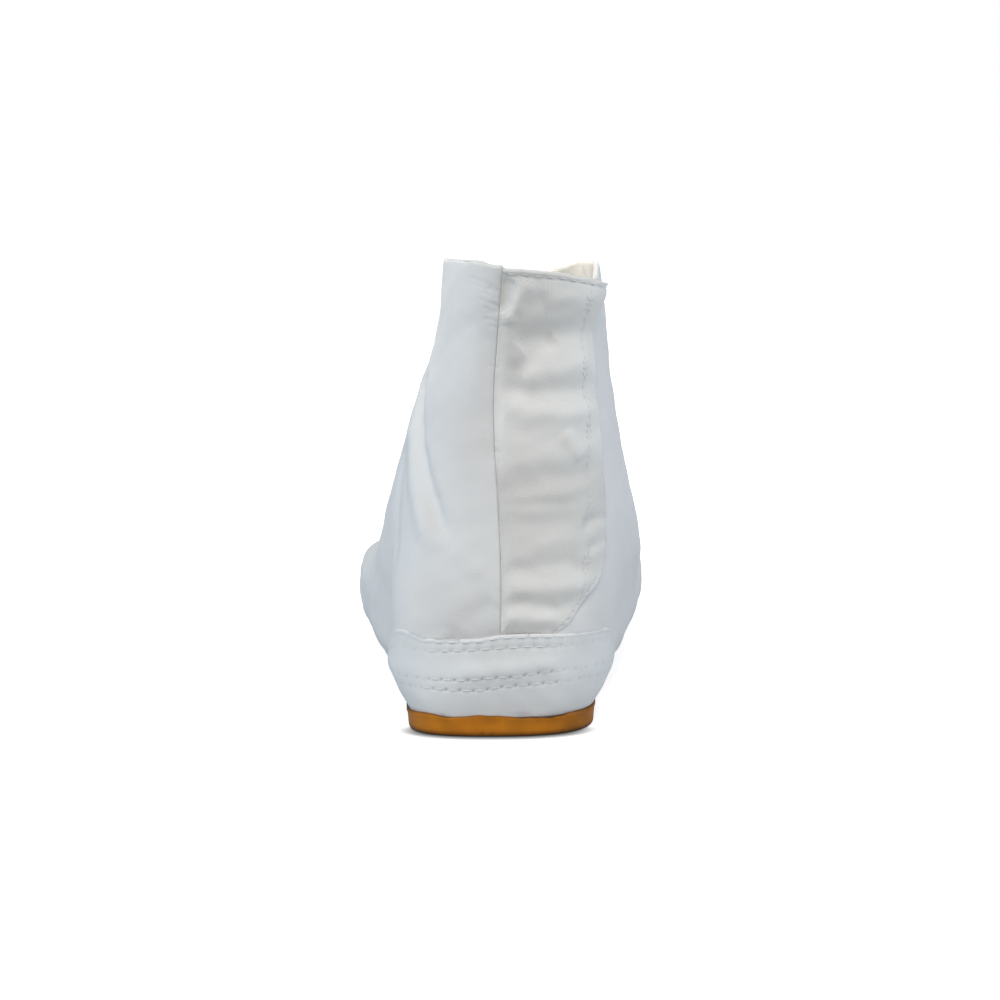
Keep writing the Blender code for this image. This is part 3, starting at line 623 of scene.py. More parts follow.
def gum_material():
    """Caramel gum rubber: cloudy, darker where the shade layer says so, with a dull skin."""
    material, tree, principled = shader("gum_rubber")
    place = node(tree, "ShaderNodeTexCoord")
    shade = node(tree, "ShaderNodeVertexColor", layer_name="shade")
    cloud = node(tree, "ShaderNodeTexNoise", Scale=55.0, Detail=4.0, Roughness=0.6)
    speck = node(tree, "ShaderNodeTexNoise", Scale=620.0, Detail=3.0, Roughness=0.65)
    for n in (cloud, speck):
        tree.links.new(place.outputs["Object"], n.inputs["Vector"])
    colour = mix(tree, (0.58, 0.200, 0.008, 1), (0.42, 0.135, 0.006, 1), maths(tree, "MULTIPLY_ADD", cloud.outputs["Fac"], 1.6, -0.45))
    colour = mix(tree, colour, shade.outputs["Color"], 1.0, "MULTIPLY")
    tree.links.new(colour, principled.inputs["Base Color"])
    tree.links.new(maths(tree, "MULTIPLY_ADD", speck.outputs["Fac"], 0.25, 0.32), principled.inputs["Roughness"])
    bump = node(tree, "ShaderNodeBump", Strength=0.35, Distance=0.0002)
    tree.links.new(speck.outputs["Fac"], bump.inputs["Height"])
    tree.links.new(bump.outputs["Normal"], principled.inputs["Normal"])
    principled.inputs["Specular IOR Level"].default_value = 0.18
    return material


# one cotton twill in three tones: the flap's lighter, warmer tone and the band's lighter tone are painted light on
# those faces
TWILL = cloth_material("cotton_twill", (0.706, 0.694, 0.677), (0.676, 0.667, 0.655), 0.85, 0.42, 0.00010)
FLAP = cloth_material("flap_twill", (0.768, 0.745, 0.706), (0.732, 0.712, 0.680), 0.80, 0.40, 0.00013, 0.46)
BAND = cloth_material("band_twill", (0.770, 0.764, 0.748), (0.740, 0.736, 0.725), 0.85, 0.36, 0.00007)
# the lining's warm tint is painted warm light inside the collar
LINING = cloth_material("lining_cotton", (0.82, 0.785, 0.72), (0.78, 0.745, 0.68), 1.4, 0.55, 0.00008)
INSOLE = cloth_material("insole_cloth", (0.74, 0.68, 0.56), (0.66, 0.60, 0.49), 1.6, 0.8, 0.00012)
THREAD = thread_material()
GUM = gum_material()

# ---- upper: outer skin ------------------------------------------------------
LEVELS = np.r_[np.linspace(0, 0.80, 100, endpoint=False), np.linspace(0.80, 1.0, 76)]
base = soften(np.array([ring(v) for v in LEVELS]), 2)
base_n = normals(base, True)
rows, cols = base.shape[:2]
step = np.linalg.norm(np.roll(base, -1, 1) - base, axis=2)
round_lat = np.concatenate([np.zeros((rows, 1)), np.cumsum(step, 1)[:, :-1]], 1)     # from the back, going by the lateral side
round_med = step.sum(1, keepdims=True) - round_lat + NEAR[0] - step[:, -1:]          # from the back, going by the medial side
from_seam = np.where(np.arange(cols)[None] < WEB, -round_lat, round_med)
up_cloth = np.concatenate([np.zeros((1, cols)), np.cumsum(np.linalg.norm(np.diff(base, axis=0), axis=2), 0)])

flat_p, flat_n = base.reshape(-1, 3), base_n.reshape(-1, 3)
LINES = [(laid(view, line, flat_p, flat_n), height, width) for view, height, width, line in CREASES]
LINES += [(laid("back", ((-reach, z), (-reach / 2 - 0.2, z - drop * 0.42), (0.2, z - drop)), flat_p, flat_n), -0.20, 0.50) for z, reach, drop in PULLS]


def creased(p):
    """Height of all listed creases and of the cloth's soft unevenness at each point."""
    q = p.reshape(-1, 3)
    total = np.zeros(len(q))
    for line, height, width in LINES:
        total += press(q, line, height, width)
    fore = ease((q[:, 1] - 55) / 30)
    total += 0.32 * waves(q, 4, 9, 26, 60) + (0.13 + 0.06 * fore) * waves(q, 5, 9, 9, 18) + (0.035 + 0.015 * fore) * waves(q, 6, 9, 4, 7)
    return total.reshape(p.shape[:-1])


height = creased(base)
grip = ease((LEVELS - 0.05) / 0.10)[:, None]                     # held flat where the rubber grips it
height = height * grip
# toes: gathers that fan out from the sole's edge round each tip
tip = np.clip(base[..., 1] - 222, 0, 40) / 40
height += 0.28 * tip * np.sin(from_seam * 2 * np.pi / 7.5) * ease((LEVELS - 0.03) / 0.05)[:, None] * (1 - ease((LEVELS - 0.10) / 0.14))[:, None]
# instep seam from the root of the split to the collar: a groove and the turned allowance beside it
from_web = np.where(np.arange(cols)[None] < WEB, round_lat - round_lat[:, WEB:WEB + 1], round_lat - round_lat[:, WEB:WEB + 1])
seam_on = ease((LEVELS - 0.33) / 0.05)[:, None]
shut = (1 - 0.8 * ease((LEVELS - 0.955) / 0.035))[:, None]                # sewn shut at the collar
height += seam_on * (-0.75 * shut * np.exp(-(from_web / 0.55) ** 2) + 0.5 * ease((from_web - 0.3) / 0.9) * ease((6.4 - from_web) / 0.7))
# centre back: the panel rolls a little into the seam
beside = np.abs(from_seam)
height += ease((LEVELS - 0.28) / 0.05)[:, None] * (0.12 * np.exp(-((beside - 1.2) / 1.6) ** 2) * (from_seam < 0) - 0.05 * np.exp(-(beside / 0.30) ** 2))
# under the flap and the band the cloth lies a little lower
under_flap = (from_seam > 0.4) * (from_seam < smooth([r[0] for r in FLAP_EDGES], [r[1] for r in FLAP_EDGES], LEVELS)[:, None] - 1.0) * (LEVELS > 0.31)[:, None]
height -= 0.5 * under_flap
band_top = smooth([r[0] for r in BAND_EDGES], [r[1] for r in BAND_EDGES], from_seam) * (from_seam > BAND_EDGES[0][0]) * (from_seam < BAND_EDGES[-1][0])
under_band = ease((band_top - 0.004 - LEVELS[:, None]) / 0.012)
height = height * (1 - 0.9 * under_band) - 0.25 * under_band
skin = base + base_n * height[..., None]
behind_flap = ease(from_seam / 2.5) * ease((38 - from_seam) / 5)
skin[..., 2] -= (0.75 + 1.4 * behind_flap) * ease((LEVELS - 0.86) / 0.14)[:, None]   # room for the turned edge, lower behind the flap's hem
lumps = (0.22 * waves(base, 31, 8, 5, 9) + 0.13 * waves(base, 32, 8, 2.6, 4.5)) * (1 - 0.65 * ease((base[..., 1] - 40) / 20)) - 1.0 * np.exp(-(beside / 4.5) ** 2) * (from_seam <= 0)
skin[..., 2] += lumps * ease((LEVELS - 0.978) / 0.022)[:, None]
skin_n = normals(skin, True)

# collar: the edge turns over and a hem lies inside
turn = np.linspace(0, np.pi, 7)[1:]
top, top_n = skin[-1], unit(skin_n[-1] * (1, 1, 0))
radius = 1.05
fold = np.array([top - top_n * radius + radius * (top_n * math.cos(a) + np.array((0, 0, 1)) * math.sin(a)) for a in turn])
hem_rows = np.arange(rows - 2, rows - 28, -1)
hem = skin[hem_rows] - base_n[hem_rows] * 2 * radius
upper_p = np.concatenate([skin, fold, hem])
all_rows = len(upper_p)
faces = quads(all_rows, cols, True, True)
row_of, col_of = faces.min(1) // cols, np.arange(len(faces)) % cols
slit_col = cols - 1 - NEAR.index(SLIT_TO)
level_of = np.r_[LEVELS, np.ones(len(turn)), LEVELS[hem_rows]]
faces = faces[~((col_of == slit_col) & (np.minimum(level_of[row_of], level_of[np.minimum(row_of + 1, all_rows - 1)]) >= SLIT_LEVEL))]
cloth_uv = np.stack([np.concatenate([from_seam, np.repeat(from_seam[-1:], len(turn), 0), from_seam[hem_rows]]),
                     np.concatenate([up_cloth, up_cloth[-1:] + (turn * radius)[:, None], up_cloth[-1:] + 3 + (up_cloth[-1:] - up_cloth[hem_rows])])], -1)
shade = np.ones((rows, cols))
# painted shade in the seams: a thin line along the centre-back seam and in the instep seam's groove
shade *= 1 - 0.10 * (np.exp(-(beside / 0.35) ** 2) * ease((LEVELS - 0.28) / 0.05)[:, None])
shade *= 1 - 0.25 * np.exp(-(from_web / 0.5) ** 2) * seam_on
shade *= 1 - 0.10 * np.exp(-((base[..., 2] - sole_base(base[..., 1]) - 7) / 4.0) ** 2) * (0.6 + 0.4 * waves(base, 8, 8, 8, 30))
shade = np.repeat(np.concatenate([shade, np.ones((all_rows - rows, cols))])[..., None], 3, 2)
# painted shade patches, taking a little more from blue than from red
for d0, z0, wide, high, dark in UPPER_PAINTED_SHADE:
    shade[:rows] *= 1 - (dark * np.exp(-((from_seam - d0) / wide) ** 2 - ((base[..., 2] - z0) / high) ** 2))[..., None] * (0.8, 1.05, 1.1)
shade[rows + 3:] *= (1.0, 0.98, 0.95)                                       # painted warm light: the hem inside the collar is tinted warm
upper = add_piece("upper_cloth", upper_p, faces, TWILL, cloth_uv, shade, ("upper",))

# the slit's two cut edges, closed between the cloth's faces
walls, wall_faces = [], []
first = int(np.searchsorted(LEVELS, SLIT_LEVEL))
for c in (slit_col, slit_col + 1):
    start, tall = len(walls), rows - first
    walls += list(skin[first:, c]) + list((skin - base_n * 2 * radius)[first:, c]) + list(fold[:, c])
    wall_faces += [(start + k, start + k + 1, start + tall + k + 1, start + tall + k) for k in range(tall - 1)]
    over = [start + tall - 1] + [start + 2 * tall + k for k in range(len(fold))]
    wall_faces += [(start + 2 * tall - 1, over[k], over[k + 1]) for k in range(len(over) - 2)]
add_piece("upper_slit_edges", np.array(walls), wall_faces, TWILL, np.zeros((len(walls), 2)))

# lining: the same cloth's inner face
inner = (skin - base_n * 1.6)[::2, ::2]
level2, cols2 = LEVELS[::2], inner.shape[1]
faces = quads(len(inner), cols2, True)
j = np.arange(len(faces)) % cols2
d2 = from_seam[::2, ::2]
gap_col = int(np.argmin(np.abs(d2[-1] - SLIT_TO)))
faces = faces[~((j == gap_col) & (level2[faces.min(1) // cols2] >= SLIT_LEVEL))]
add_piece("upper_lining", inner, faces, LINING, np.stack([d2, up_cloth[::2, ::2]], -1))

# ---- heel band --------------------------------------------------------------
def sample(grid, i, j):
    """Points of a grid between its rows and columns."""
    a, b = np.clip(i.astype(int), 0, grid.shape[0] - 2), np.clip(j.astype(int), 0, grid.shape[1] - 2)
    u, v = (i - a)[:, None], (j - b)[:, None]
    return grid[a, b] * (1 - u) * (1 - v) + grid[a + 1, b] * u * (1 - v) + grid[a, b + 1] * (1 - u) * v + grid[a + 1, b + 1] * u * v


edge = {name: [row[i] for row in BAND_EDGES] for i, name in enumerate(BAND_EDGE)}
ROWS_B, COLS_B = 72, 400
first_b, last_b = edge["distance"][0], edge["distance"][-1]
closer = (1 - np.cos(np.linspace(0, np.pi, COLS_B))) / 2
reach_b = first_b + (last_b - first_b) * (0.6 * closer + 0.4 * np.linspace(0, 1, COLS_B))
top_b = smooth(edge["distance"], edge["level"], reach_b)
part = np.linspace(0, 1, ROWS_B)
table = np.linspace(0.005, 0.34, 84)
lift_table = soften(cloth_at(table, [reach_b] * len(table)), 2)
level_b = BAND_FOOT_LEVEL + (top_b - BAND_FOOT_LEVEL)[None] * part[:, None]
where = (level_b - table[0]) / (table[1] - table[0])
k = np.clip(where.astype(int), 0, len(table) - 2)
f = (where - k)[..., None]
c = np.arange(COLS_B)[None]
band_base = lift_table[k, c] * (1 - f) + lift_table[k + 1, c] * f
band_n = normals(lift_table, False)
band_n = unit(band_n[k, c] * (1 - f) + band_n[k + 1, c] * f)
up_b = np.concatenate([np.zeros((1, COLS_B)), np.cumsum(np.linalg.norm(np.diff(band_base, axis=0), axis=2), 0)])
tall = up_b[-1:]
below_top = tall - up_b
from_end = np.minimum(reach_b - first_b, last_b - reach_b)[None]
STITCH = 4.3
band_lift = 0.30 + 0.65 * ease(up_b / 1.6) + 0.16 * np.exp(-((below_top - 0.65) / 0.5) ** 2)
near_edge = np.minimum(below_top, 0.35 * below_top + 0.9 * from_end)
band_lift = band_lift * (0.25 + 0.75 * rounded(near_edge, 0.6, 2))
band_lift += press(band_base.reshape(-1, 3), laid("back", ((-17.0, 20.6), (-6.0, 21.8), (6.0, 23.2), (20.0, 25.0)), flat_p, flat_n), 0.95, 3.3).reshape(ROWS_B, COLS_B)
band_lift += 0.16 * waves(band_base, 14, 8, 16, 40) * ease(up_b / 4) + 0.07 * waves(band_base, 15, 8, 6, 12)
holes = np.zeros_like(band_lift)
shares = []
for phase, dark, row in BAND_ROWS:
    share = (smooth([r[0] for r in row], [r[1] for r in row], reach_b) - BAND_FOOT_LEVEL) / (top_b - BAND_FOOT_LEVEL)
    shares.append(share)
    seen = ((reach_b > row[0][0]) & (reach_b < row[-1][0]))[None] * (0.35 + 0.65 * ease((reach_b[None] + 24) / 10) * ease((26 - reach_b[None]) / 12))
    away = (part[:, None] - share[None]) * tall
    beat = 0.5 + 0.5 * np.cos(2 * np.pi * (reach_b[None] / STITCH - phase))
    band_lift -= seen * np.exp(-(away / 0.62) ** 2) * (0.10 + 0.24 * beat ** 3)
    holes += dark * seen * np.exp(-(away / 0.40) ** 2) * beat ** 8
band = band_base + band_n * band_lift[..., None]
band_out = normals(band, False)
points, faces = closed_sheet(band, band_base + band_n * 0.12)
# painted shade in the needle holes
shade = np.repeat((1 - 0.55 * np.clip(holes, 0, 1))[..., None], 3, 2)
for d0, h0, wide, high, dark in SMUDGES:
    spot = np.exp(-((reach_b[None] - d0) / wide) ** 2 - ((up_b - h0) / high) ** 2) * (0.75 + 0.35 * waves(band_base, 17, 8, 2.5, 6))
    shade *= 1 - (dark * np.clip(spot, 0, 1))[..., None] * (1.0, 1.04, 1.0)
# painted shade: a little darker under the band's top edge and towards both its ends
shade *= (1 - 0.065 * np.exp(-((below_top - 3.0) / 5.0) ** 2))[..., None]
shade *= (1 - 0.06 * ease((np.abs(reach_b) - 20.0) / 9.0))[None, :, None]
shade *= (1 - 0.07 * np.exp(-(up_b / 1.9) ** 2) * (0.65 + 0.35 * waves(band_base, 16, 8, 8, 25)))[..., None]
uv = np.stack([np.repeat(reach_b[None], ROWS_B, 0), up_b], -1)
add_piece("heel_band_cloth", points, faces, BAND, np.concatenate([uv, uv]), np.concatenate([shade, np.ones_like(shade)]).reshape(-1, 3), ("heel_band",))

stitches = []
for (phase, dark, row), share in zip(BAND_ROWS, shares):
    first = (np.ceil((row[0][0] + 1.5) / STITCH - phase) + phase + 0.5) * STITCH
    place = np.arange(first, row[-1][0] - 1.5, STITCH)

    def on_row(d, grid):
        return sample(grid, np.interp(d, reach_b, share) * (ROWS_B - 1), np.interp(d, reach_b, np.arange(COLS_B)))
    at, ahead, out = on_row(place, band), unit(on_row(place + 1.2, band) - on_row(place - 1.2, band)), unit(on_row(place, band_out))
    at = at - out * (0.22 * (1 - ease((place + 26) / 8) * ease((24 - place) / 12)))[:, None]
    stitches.append(pillows(at, ahead, unit(out - ahead * (out * ahead).sum(1, keepdims=True)), 3.0, 0.21))
points, faces = joined(stitches)
add_piece("heel_band_stitches", points, faces, THREAD)

# ---- back flap --------------------------------------------------------------
flap_edge = {name: [row[i] for row in FLAP_EDGES] for i, name in enumerate(FLAP_EDGE)}
ROWS_F, COLS_F = 236, 96
FLAP_START = 0.08
level_f = np.linspace(FLAP_FOOT_LEVEL, 1.0, ROWS_F)
reach_f = smooth(flap_edge["level"], flap_edge["reach"], level_f)
t = np.linspace(0, 1, COLS_F)[None]
t = 0.8 * t + 0.2 * t ** 3                       # closer together at the seam
dist_f = FLAP_START + (reach_f[:, None] - FLAP_START) * t
flap_base = soften(cloth_at(level_f, dist_f), 3)
flap_n = normals(flap_base, False)
up_f = np.concatenate([np.zeros((1, COLS_F)), np.cumsum(np.linalg.norm(np.diff(flap_base, axis=0), axis=2), 0)])
below_hem = up_f[-1:] - up_f
to_edge = reach_f[:, None] - dist_f
flare = FLAP_FLARE * ease((level_f[:, None] - 0.88) / 0.12) * ease((t - 0.55) / 0.45)
flap_lift = 0.07 + 0.93 * ease(dist_f / 4.0 + 0.04)
flap_lift = flap_lift * (0.2 + 0.8 * ease(up_f / 8.0)) + flare
flap_lift += 0.30 * np.exp(-((below_hem - 0.9) / 1.0) ** 2) - 0.35 * np.exp(-((below_hem - 2.1) / 0.55) ** 2)
sewn = dist_f - smooth([r[0] for r in FLAP_LINE], [r[1] for r in FLAP_LINE], np.clip(level_f, FLAP_LINE[0][0], 1))[:, None]
on_line = ease((level_f[:, None] - 0.40) / 0.03)
pressed = 1 - ease((level_f[:, None] - 0.40) / 0.06)
flap_lift += 0.22 * np.exp(-((to_edge - 1.1) / 1.0) ** 2) * (1 - pressed) - 0.12 * np.exp(-(sewn / 0.6) ** 2) * on_line
foot_sewn = dist_f - smooth([r[0] for r in FLAP_FOOT_LINE], [r[1] for r in FLAP_FOOT_LINE], np.clip(level_f, FLAP_FOOT_LINE[0][0], FLAP_FOOT_LINE[-1][0]))[:, None]
flap_lift -= 0.25 * np.exp(-(foot_sewn / 0.6) ** 2) * (level_f[:, None] < FLAP_FOOT_LINE[-1][0])
flap_lift *= (0.45 - 0.30 * pressed + (0.55 + 0.30 * pressed) * rounded(to_edge, 0.8 + 2.6 * pressed, 2)) * (0.5 + 0.5 * rounded(below_hem, 0.8, 2))
flap_height = creased(flap_base) * (1 - 0.5 * ease((8.5 - to_edge) / 7.0))      # the sewn edge is stiffer
flap_height += (0.11 * waves(flap_base * (0.30, 0.30, 1.0), 41, 9, 6, 12) + 0.05 * waves(flap_base * (0.4, 0.4, 1.0), 42, 9, 3.0, 5.0)) * ease(dist_f / 0.8)
flap = flap_base + flap_n * (flap_lift + flap_height)[..., None]
flap[..., 2] -= (0.75 - 0.75 * ease((0.40 - t) / 0.40)) * ease((level_f - 0.86) / 0.14)[:, None]
flap[..., 2] += 0.5 * (0.30 * waves(flap_base, 33, 8, 7, 14) + 0.2 * waves(flap_base, 34, 8, 3, 5)) * ease((level_f - 0.985) / 0.015)[:, None]
flap_out = normals(flap, False)
under = flap_base + flap_n * (0.12 + np.minimum(flap_height, flap_height * 0.9) + flare * 0.9)[..., None]
under[..., 2] -= (0.75 - 0.75 * ease((0.40 - t) / 0.40)) * ease((level_f - 0.86) / 0.14)[:, None]
points, faces = closed_sheet(flap, under)
shade = np.ones_like(flap_lift)
# painted shade along the flap's edge at the seam and along its stitch line
shade *= 1 - 0.08 * np.exp(-dist_f / 0.35)
shade *= 1 - 0.02 * np.exp(-(sewn / 0.45) ** 2) * on_line
shade *= 1 - smooth(*zip(*FLAP_PAINTED_SHADE), flap_base[..., 2])                        # painted shade, stronger at some heights
# painted shade of the fold left of the bright patch, darker than its modelled trough renders
shade *= 1 - 0.16 * np.exp(-((dist_f - 5.5) / 5.0) ** 2 - ((flap_base[..., 2] - 119.0) / 6.5) ** 2)
uv = np.stack([dist_f, up_f], -1)
add_piece("back_flap_cloth", points, faces, FLAP, np.concatenate([uv, uv]), np.repeat(np.concatenate([shade, np.ones_like(shade)]).reshape(-1, 1), 3, 1), ("back_flap",))


def on_flap(level, distance):
    """A line on the flap's outer face by level and distance from the seam."""
    i = np.interp(level, level_f, np.arange(ROWS_F))
    j = np.interp((distance - FLAP_START) / (np.interp(level, level_f, reach_f) - FLAP_START), t[0], np.arange(COLS_F))
    return sample(flap, i, j), unit(sample(flap_out, i, j))


def flap_line(rows, low, high):
    lv = np.linspace(low, high, 300)
    return on_flap(lv, smooth([r[0] for r in rows], [r[1] for r in rows], lv))


stitches = []
hem_row = int(np.searchsorted(-below_hem[:, 40], -2.1))
path, out = on_flap(np.full(300, level_f[hem_row]), np.linspace(1.0, reach_f[hem_row] - 1.2, 300))
stitches.append(pillows(*march(path, out, 4.2), 3.1, 0.25))
stitches.append(pillows(*march(*flap_line(FLAP_LINE, 0.41, 0.984), 3.2), 2.2, 0.14))
stitches.append(pillows(*march(*flap_line(FLAP_FOOT_LINE, 0.327, 0.444), 2.9), 2.1, 0.26))
for middle in FLAP_FASTENERS:
    for side, turn_by in ((-1.0, 0.4), (0.9, -0.4)):
        lv = np.linspace(middle - 0.018, middle + 0.018, 60)
        path, out = on_flap(lv, smooth([r[0] for r in FLAP_LINE], [r[1] for r in FLAP_LINE], np.clip(lv, 0.41, 0.986)) + side)
        at, ahead, up = march(path, out, 1.9)
        stitches.append(pillows(at, unit(ahead + turn_by * np.cross(up, ahead)), up, 1.7, 0.17))
points, faces = joined(stitches)
add_piece("back_flap_stitches", points, faces, THREAD)

# ---- seam stitches on the upper ---------------------------------------------
stitches = []
for offset in (1.6, 5.2):
    path, out = [], []
    for i in range(int(np.searchsorted(LEVELS, 0.37)), rows - 9):
        j = np.interp(offset, from_web[i, WEB:WEB + 120], np.arange(120)) + WEB
        a, f = int(j), j - int(j)
        path.append(skin[i, a] * (1 - f) + skin[i, a + 1] * f)
        out.append(skin_n[i, a])
    path, out = np.array(path), unit(soften(np.array(out)[:, None], 2)[:, 0])
    stitches.append(pillows(*march(path - out * 0.06, out, 3.2), 2.2, 0.26))
points, faces = joined(stitches)
add_piece("upper_stitches", points, faces, THREAD)

# ---- outsole ----------------------------------------------------------------
outer, cleft = GAP + RIM_THICK, GAP + RIM_THICK_CLEFT
profile = (  # level, let out, let out in the split, height above the base (None: the rim's height), shade
    (0.0, outer - 6.0, cleft - 1.3, 0.8, 0.75),
    (0.0, outer - 5.4, cleft - 1.2, 0.75, 0.7),
    (0.0, outer - 5.2, cleft - 1.1, 0.05, 0.62),
    # the dark rows along the bottom edge paint a shadow line under the rubber
    (0.0, outer - 1.0, cleft - 0.6, 0.0, 0.16),
    (0.0, outer - 0.55, cleft - 0.35, 0.12, 0.18),
    (0.0, outer - 0.28, cleft - 0.2, 0.45, 0.30),
    (0.0, outer - 0.12, cleft - 0.1, 1.05, 0.62),
    (0.0, outer - 0.02, cleft - 0.02, 1.9, 0.94),
    (0.0, outer + 0.05, cleft, 3.0, 1.0),
    (0.010, outer + 0.05, cleft, None, 1.0),
    (0.022, outer + 0.02, cleft, None, 1.0),
    (RIM_LEVEL - 0.012, outer - 0.10, cleft, None, 0.84),
    (RIM_LEVEL - 0.004, outer - 0.38, cleft - 0.05, None, 0.62),
    (RIM_LEVEL, outer - 0.80, cleft - 0.2, None, 0.42),
    (RIM_LEVEL, outer - 1.30, cleft - 0.4, None, 0.38),
    (RIM_LEVEL - 0.006, GAP - 0.1, GAP - 0.1, None, 0.45),
    (0.0, GAP, GAP, SLAB, 0.5),
)
rings, tone = [], []
for i, (level, grow, grow_cleft, high, dark) in enumerate(profile):
    p = ring(level, grow, grow_cleft)
    if high is not None:
        p[:, 2] = sole_base(p[:, 1]) + high
    go = np.linalg.norm(np.roll(p, -1, 0) - p, axis=1)
    away = np.r_[0, np.cumsum(go)[:-1]]
    away = np.where(np.arange(len(p)) < WEB, -away, go.sum() - away)                 # distance from the back, medial positive
    heel = ease((away - SOLE_EDGES[0][0]) / 8) * ease((SOLE_EDGES[-1][0] - away) / 8)
    ripple = (0.42 * waves(p * (1, 1, 0), 21, 8, 18, 46) + 0.15 * waves(p * (1, 1, 0), 22, 8, 6, 12)) * (1 - heel)
    ripple += heel * (48.0 * (smooth([r[0] for r in SOLE_EDGES], [r[1] for r in SOLE_EDGES], away) - RIM_LEVEL) + 0.12 * waves(p * (1, 1, 0), 25, 8, 3, 7))
    ripple *= np.clip((i - 8) / 4, 0, 1) * (i < 16)
    p[:, 2] += ripple
    uneven = 0.16 * waves(p, 23, 8, 10, 30) * np.clip((i - 4) / 3, 0, 1) * (i < 14)
    nicks = 0.45 * np.clip(waves(p * (1, 1, 0), 27, 8, 1.6, 3.6) - 0.55, 0, 1) * (2 < i < 7)
    p[:, :2] += unit(p[:, :2] - np.array((0, 120))) * (uneven - nicks)[:, None]
    rings.append(p)
    # darker towards both ends of the heel: painted shade where the rubber turns away from the light
    side = ease((np.abs(away + 2) - 18) / 18) * (1 - 0.65 * ease((np.abs(away) - 55) / 40))
    level_tone = dark * (1 - 0.14 * np.abs(waves(p, 24, 8, 6, 20))) * (1 - 0.36 * side)
    dusty = ease((-14 - away) / 12) * ease((away + 62) / 20) * (0.8 + 0.3 * waves(p, 26, 8, 4, 9))      # the lateral end is dusty
    tone.append(level_tone[:, None] * (1 + np.clip(dusty, 0, 1)[:, None] * (-0.17, -0.11, 0.9)))
count = rings[0].shape[0]
points = np.vstack(rings)
faces = [tuple(q) for q in quads(len(rings), count, True, True)]
tone = list(np.concatenate(tone))
for outline, high, dark, flip in ((rings[0], 0.8, 0.75, False), (rings[-1], SLAB, 0.6, True)):
    p, tris = fill(outline, 6.0, 2.0, lambda y, high=high: sole_base(y) + high)
    faces += [tuple(i + len(points) for i in (q if flip else q[::-1])) for q in tris]
    points = np.vstack([points, p])
    tone += [np.full(3, dark)] * len(p)
add_piece("outsole_rubber", points, faces, GUM, None, np.array(tone), ("outsole",))

# tread: fine zigzag ribs inside the border
border = ring(0.0, outer - 5.6, cleft - 1.25)[:, :2]
parts = []
for k, y0 in enumerate(np.arange(6.0, 256.0, 4.2)):
    x = np.arange(-46, 46, 1.0)
    y = y0 + 1.5 * np.abs(((x / 5.0) % 2) - 1)
    ok = inside(np.stack([x, y], 1), border) & inside(np.stack([x, y + 1.0], 1), border) & inside(np.stack([x, y - 1.0], 1), border)
    for run in np.split(np.arange(len(x)), np.flatnonzero(np.diff(ok.astype(int))) + 1):
        if len(run) > 3 and ok[run[0]]:
            px, py = x[run], y[run]
            b = sole_base(py)
            section_pts = [np.stack([px, py + dy, b + dz], 1) for dy, dz in ((-1.0, 0.9), (-0.7, 0.12), (-0.4, 0.02), (0.4, 0.02), (0.7, 0.12), (1.0, 0.9))]
            g = np.array(section_pts)
            parts.append((g.reshape(-1, 3), quads(6, len(px), False, True)))
points, faces = joined(parts)
add_piece("outsole_tread", points, faces, GUM, None, np.full((len(points), 3), 0.8))

# ---- insole -----------------------------------------------------------------
inset = -(WALL + 0.15)                                       # it meets the lining
rim = []
for grow, high in ((0.0, 0.0), (0.0, 1.3), (-0.25, 1.75), (-0.8, 2.0)):
    p = ring(0.0, inset + grow)
    p[:, 2] = sole_base(p[:, 1]) + SLAB + GAP + high
    rim.append(p)
points = np.vstack(rim)
faces = [tuple(q) for q in quads(4, len(rim[0]), True, True)]
p, tris = fill(rim[-1], 4.0, 2.0, lambda y: sole_base(y) + SLAB + GAP + INSOLE_THICK)
# worn a little hollow under the heel and the ball
p[:, 2] -= 0.5 * np.exp(-((p[:, 0] / 18) ** 2 + ((p[:, 1] - 30) / 22) ** 2)) + 0.5 * np.exp(-((p[:, 0] / 26) ** 2 + ((p[:, 1] - 185) / 24) ** 2))
faces += [tuple(i + len(points) for i in q) for q in tris]
points = np.vstack([points, p])
add_piece("insole_cloth_top", points, faces, INSOLE, points[:, :2], None, ("insole",))

# ---- camera, floor and light ------------------------------------------------
scene = bpy.context.scene
camera = bpy.data.objects.new("camera", bpy.data.cameras.new("camera"))
scene.collection.objects.link(camera)
camera.location = (np.array((-0.458, -813.42, 181.6)) + SHIFT) * MM
camera.rotation_euler = (math.radians(90 - 7.3906), 0, 0)
camera.data.sensor_width = 36.0
camera.data.lens = 36.0 * 2.6138
camera.data.clip_end = 200.0
scene.camera = camera

def ground(name, z, colour, glow):
    mesh = bpy.data.meshes.new(name)
    mesh.from_pydata([(-60, -60, z), (60, -60, z), (60, 60, z), (-60, 60, z)], [], [(0, 1, 2, 3)])
    obj = bpy.data.objects.new(name, mesh)
    scene.collection.objects.link(obj)
    material, tree, principled = shader(name)
    principled.inputs["Base Color"].default_value = (*colour, 1)
    principled.inputs["Roughness"].default_value = 1.0
    principled.inputs["Specular IOR Level"].default_value = 0.0
    principled.inputs["Emission Color"].default_value = (1, 1, 1, 1)
    principled.inputs["Emission Strength"].default_value = glow
    if glow:
        # painted contact shadow: ambient occlusion darkens the sheet's glow and colour in front of the heel
        near = node(tree, "ShaderNodeAmbientOcclusion", samples=16, Distance=0.007)
        place = node(tree, "ShaderNodeSeparateXYZ")
        tree.links.new(node(tree, "ShaderNodeTexCoord").outputs["Object"], place.inputs["Vector"])
        heel = node(tree, "ShaderNodeMapRange", **{"From Min": -0.112, "From Max": -0.124, "To Min": 0.0, "To Max": 1.0})
        tree.links.new(place.outputs["Y"], heel.inputs["Value"])
        painted_contact_shadow = maths(tree, "POWER", near.outputs["AO"], maths(tree, "MULTIPLY", heel.outputs["Result"], 3.4))
        tree.links.new(maths(tree, "MULTIPLY", painted_contact_shadow, glow), principled.inputs["Emission Strength"])
        tree.links.new(mix(tree, (0, 0, 0, 1), (*colour, 1), painted_contact_shadow), principled.inputs["Base Color"])
    mesh.materials.append(material)
    return obj


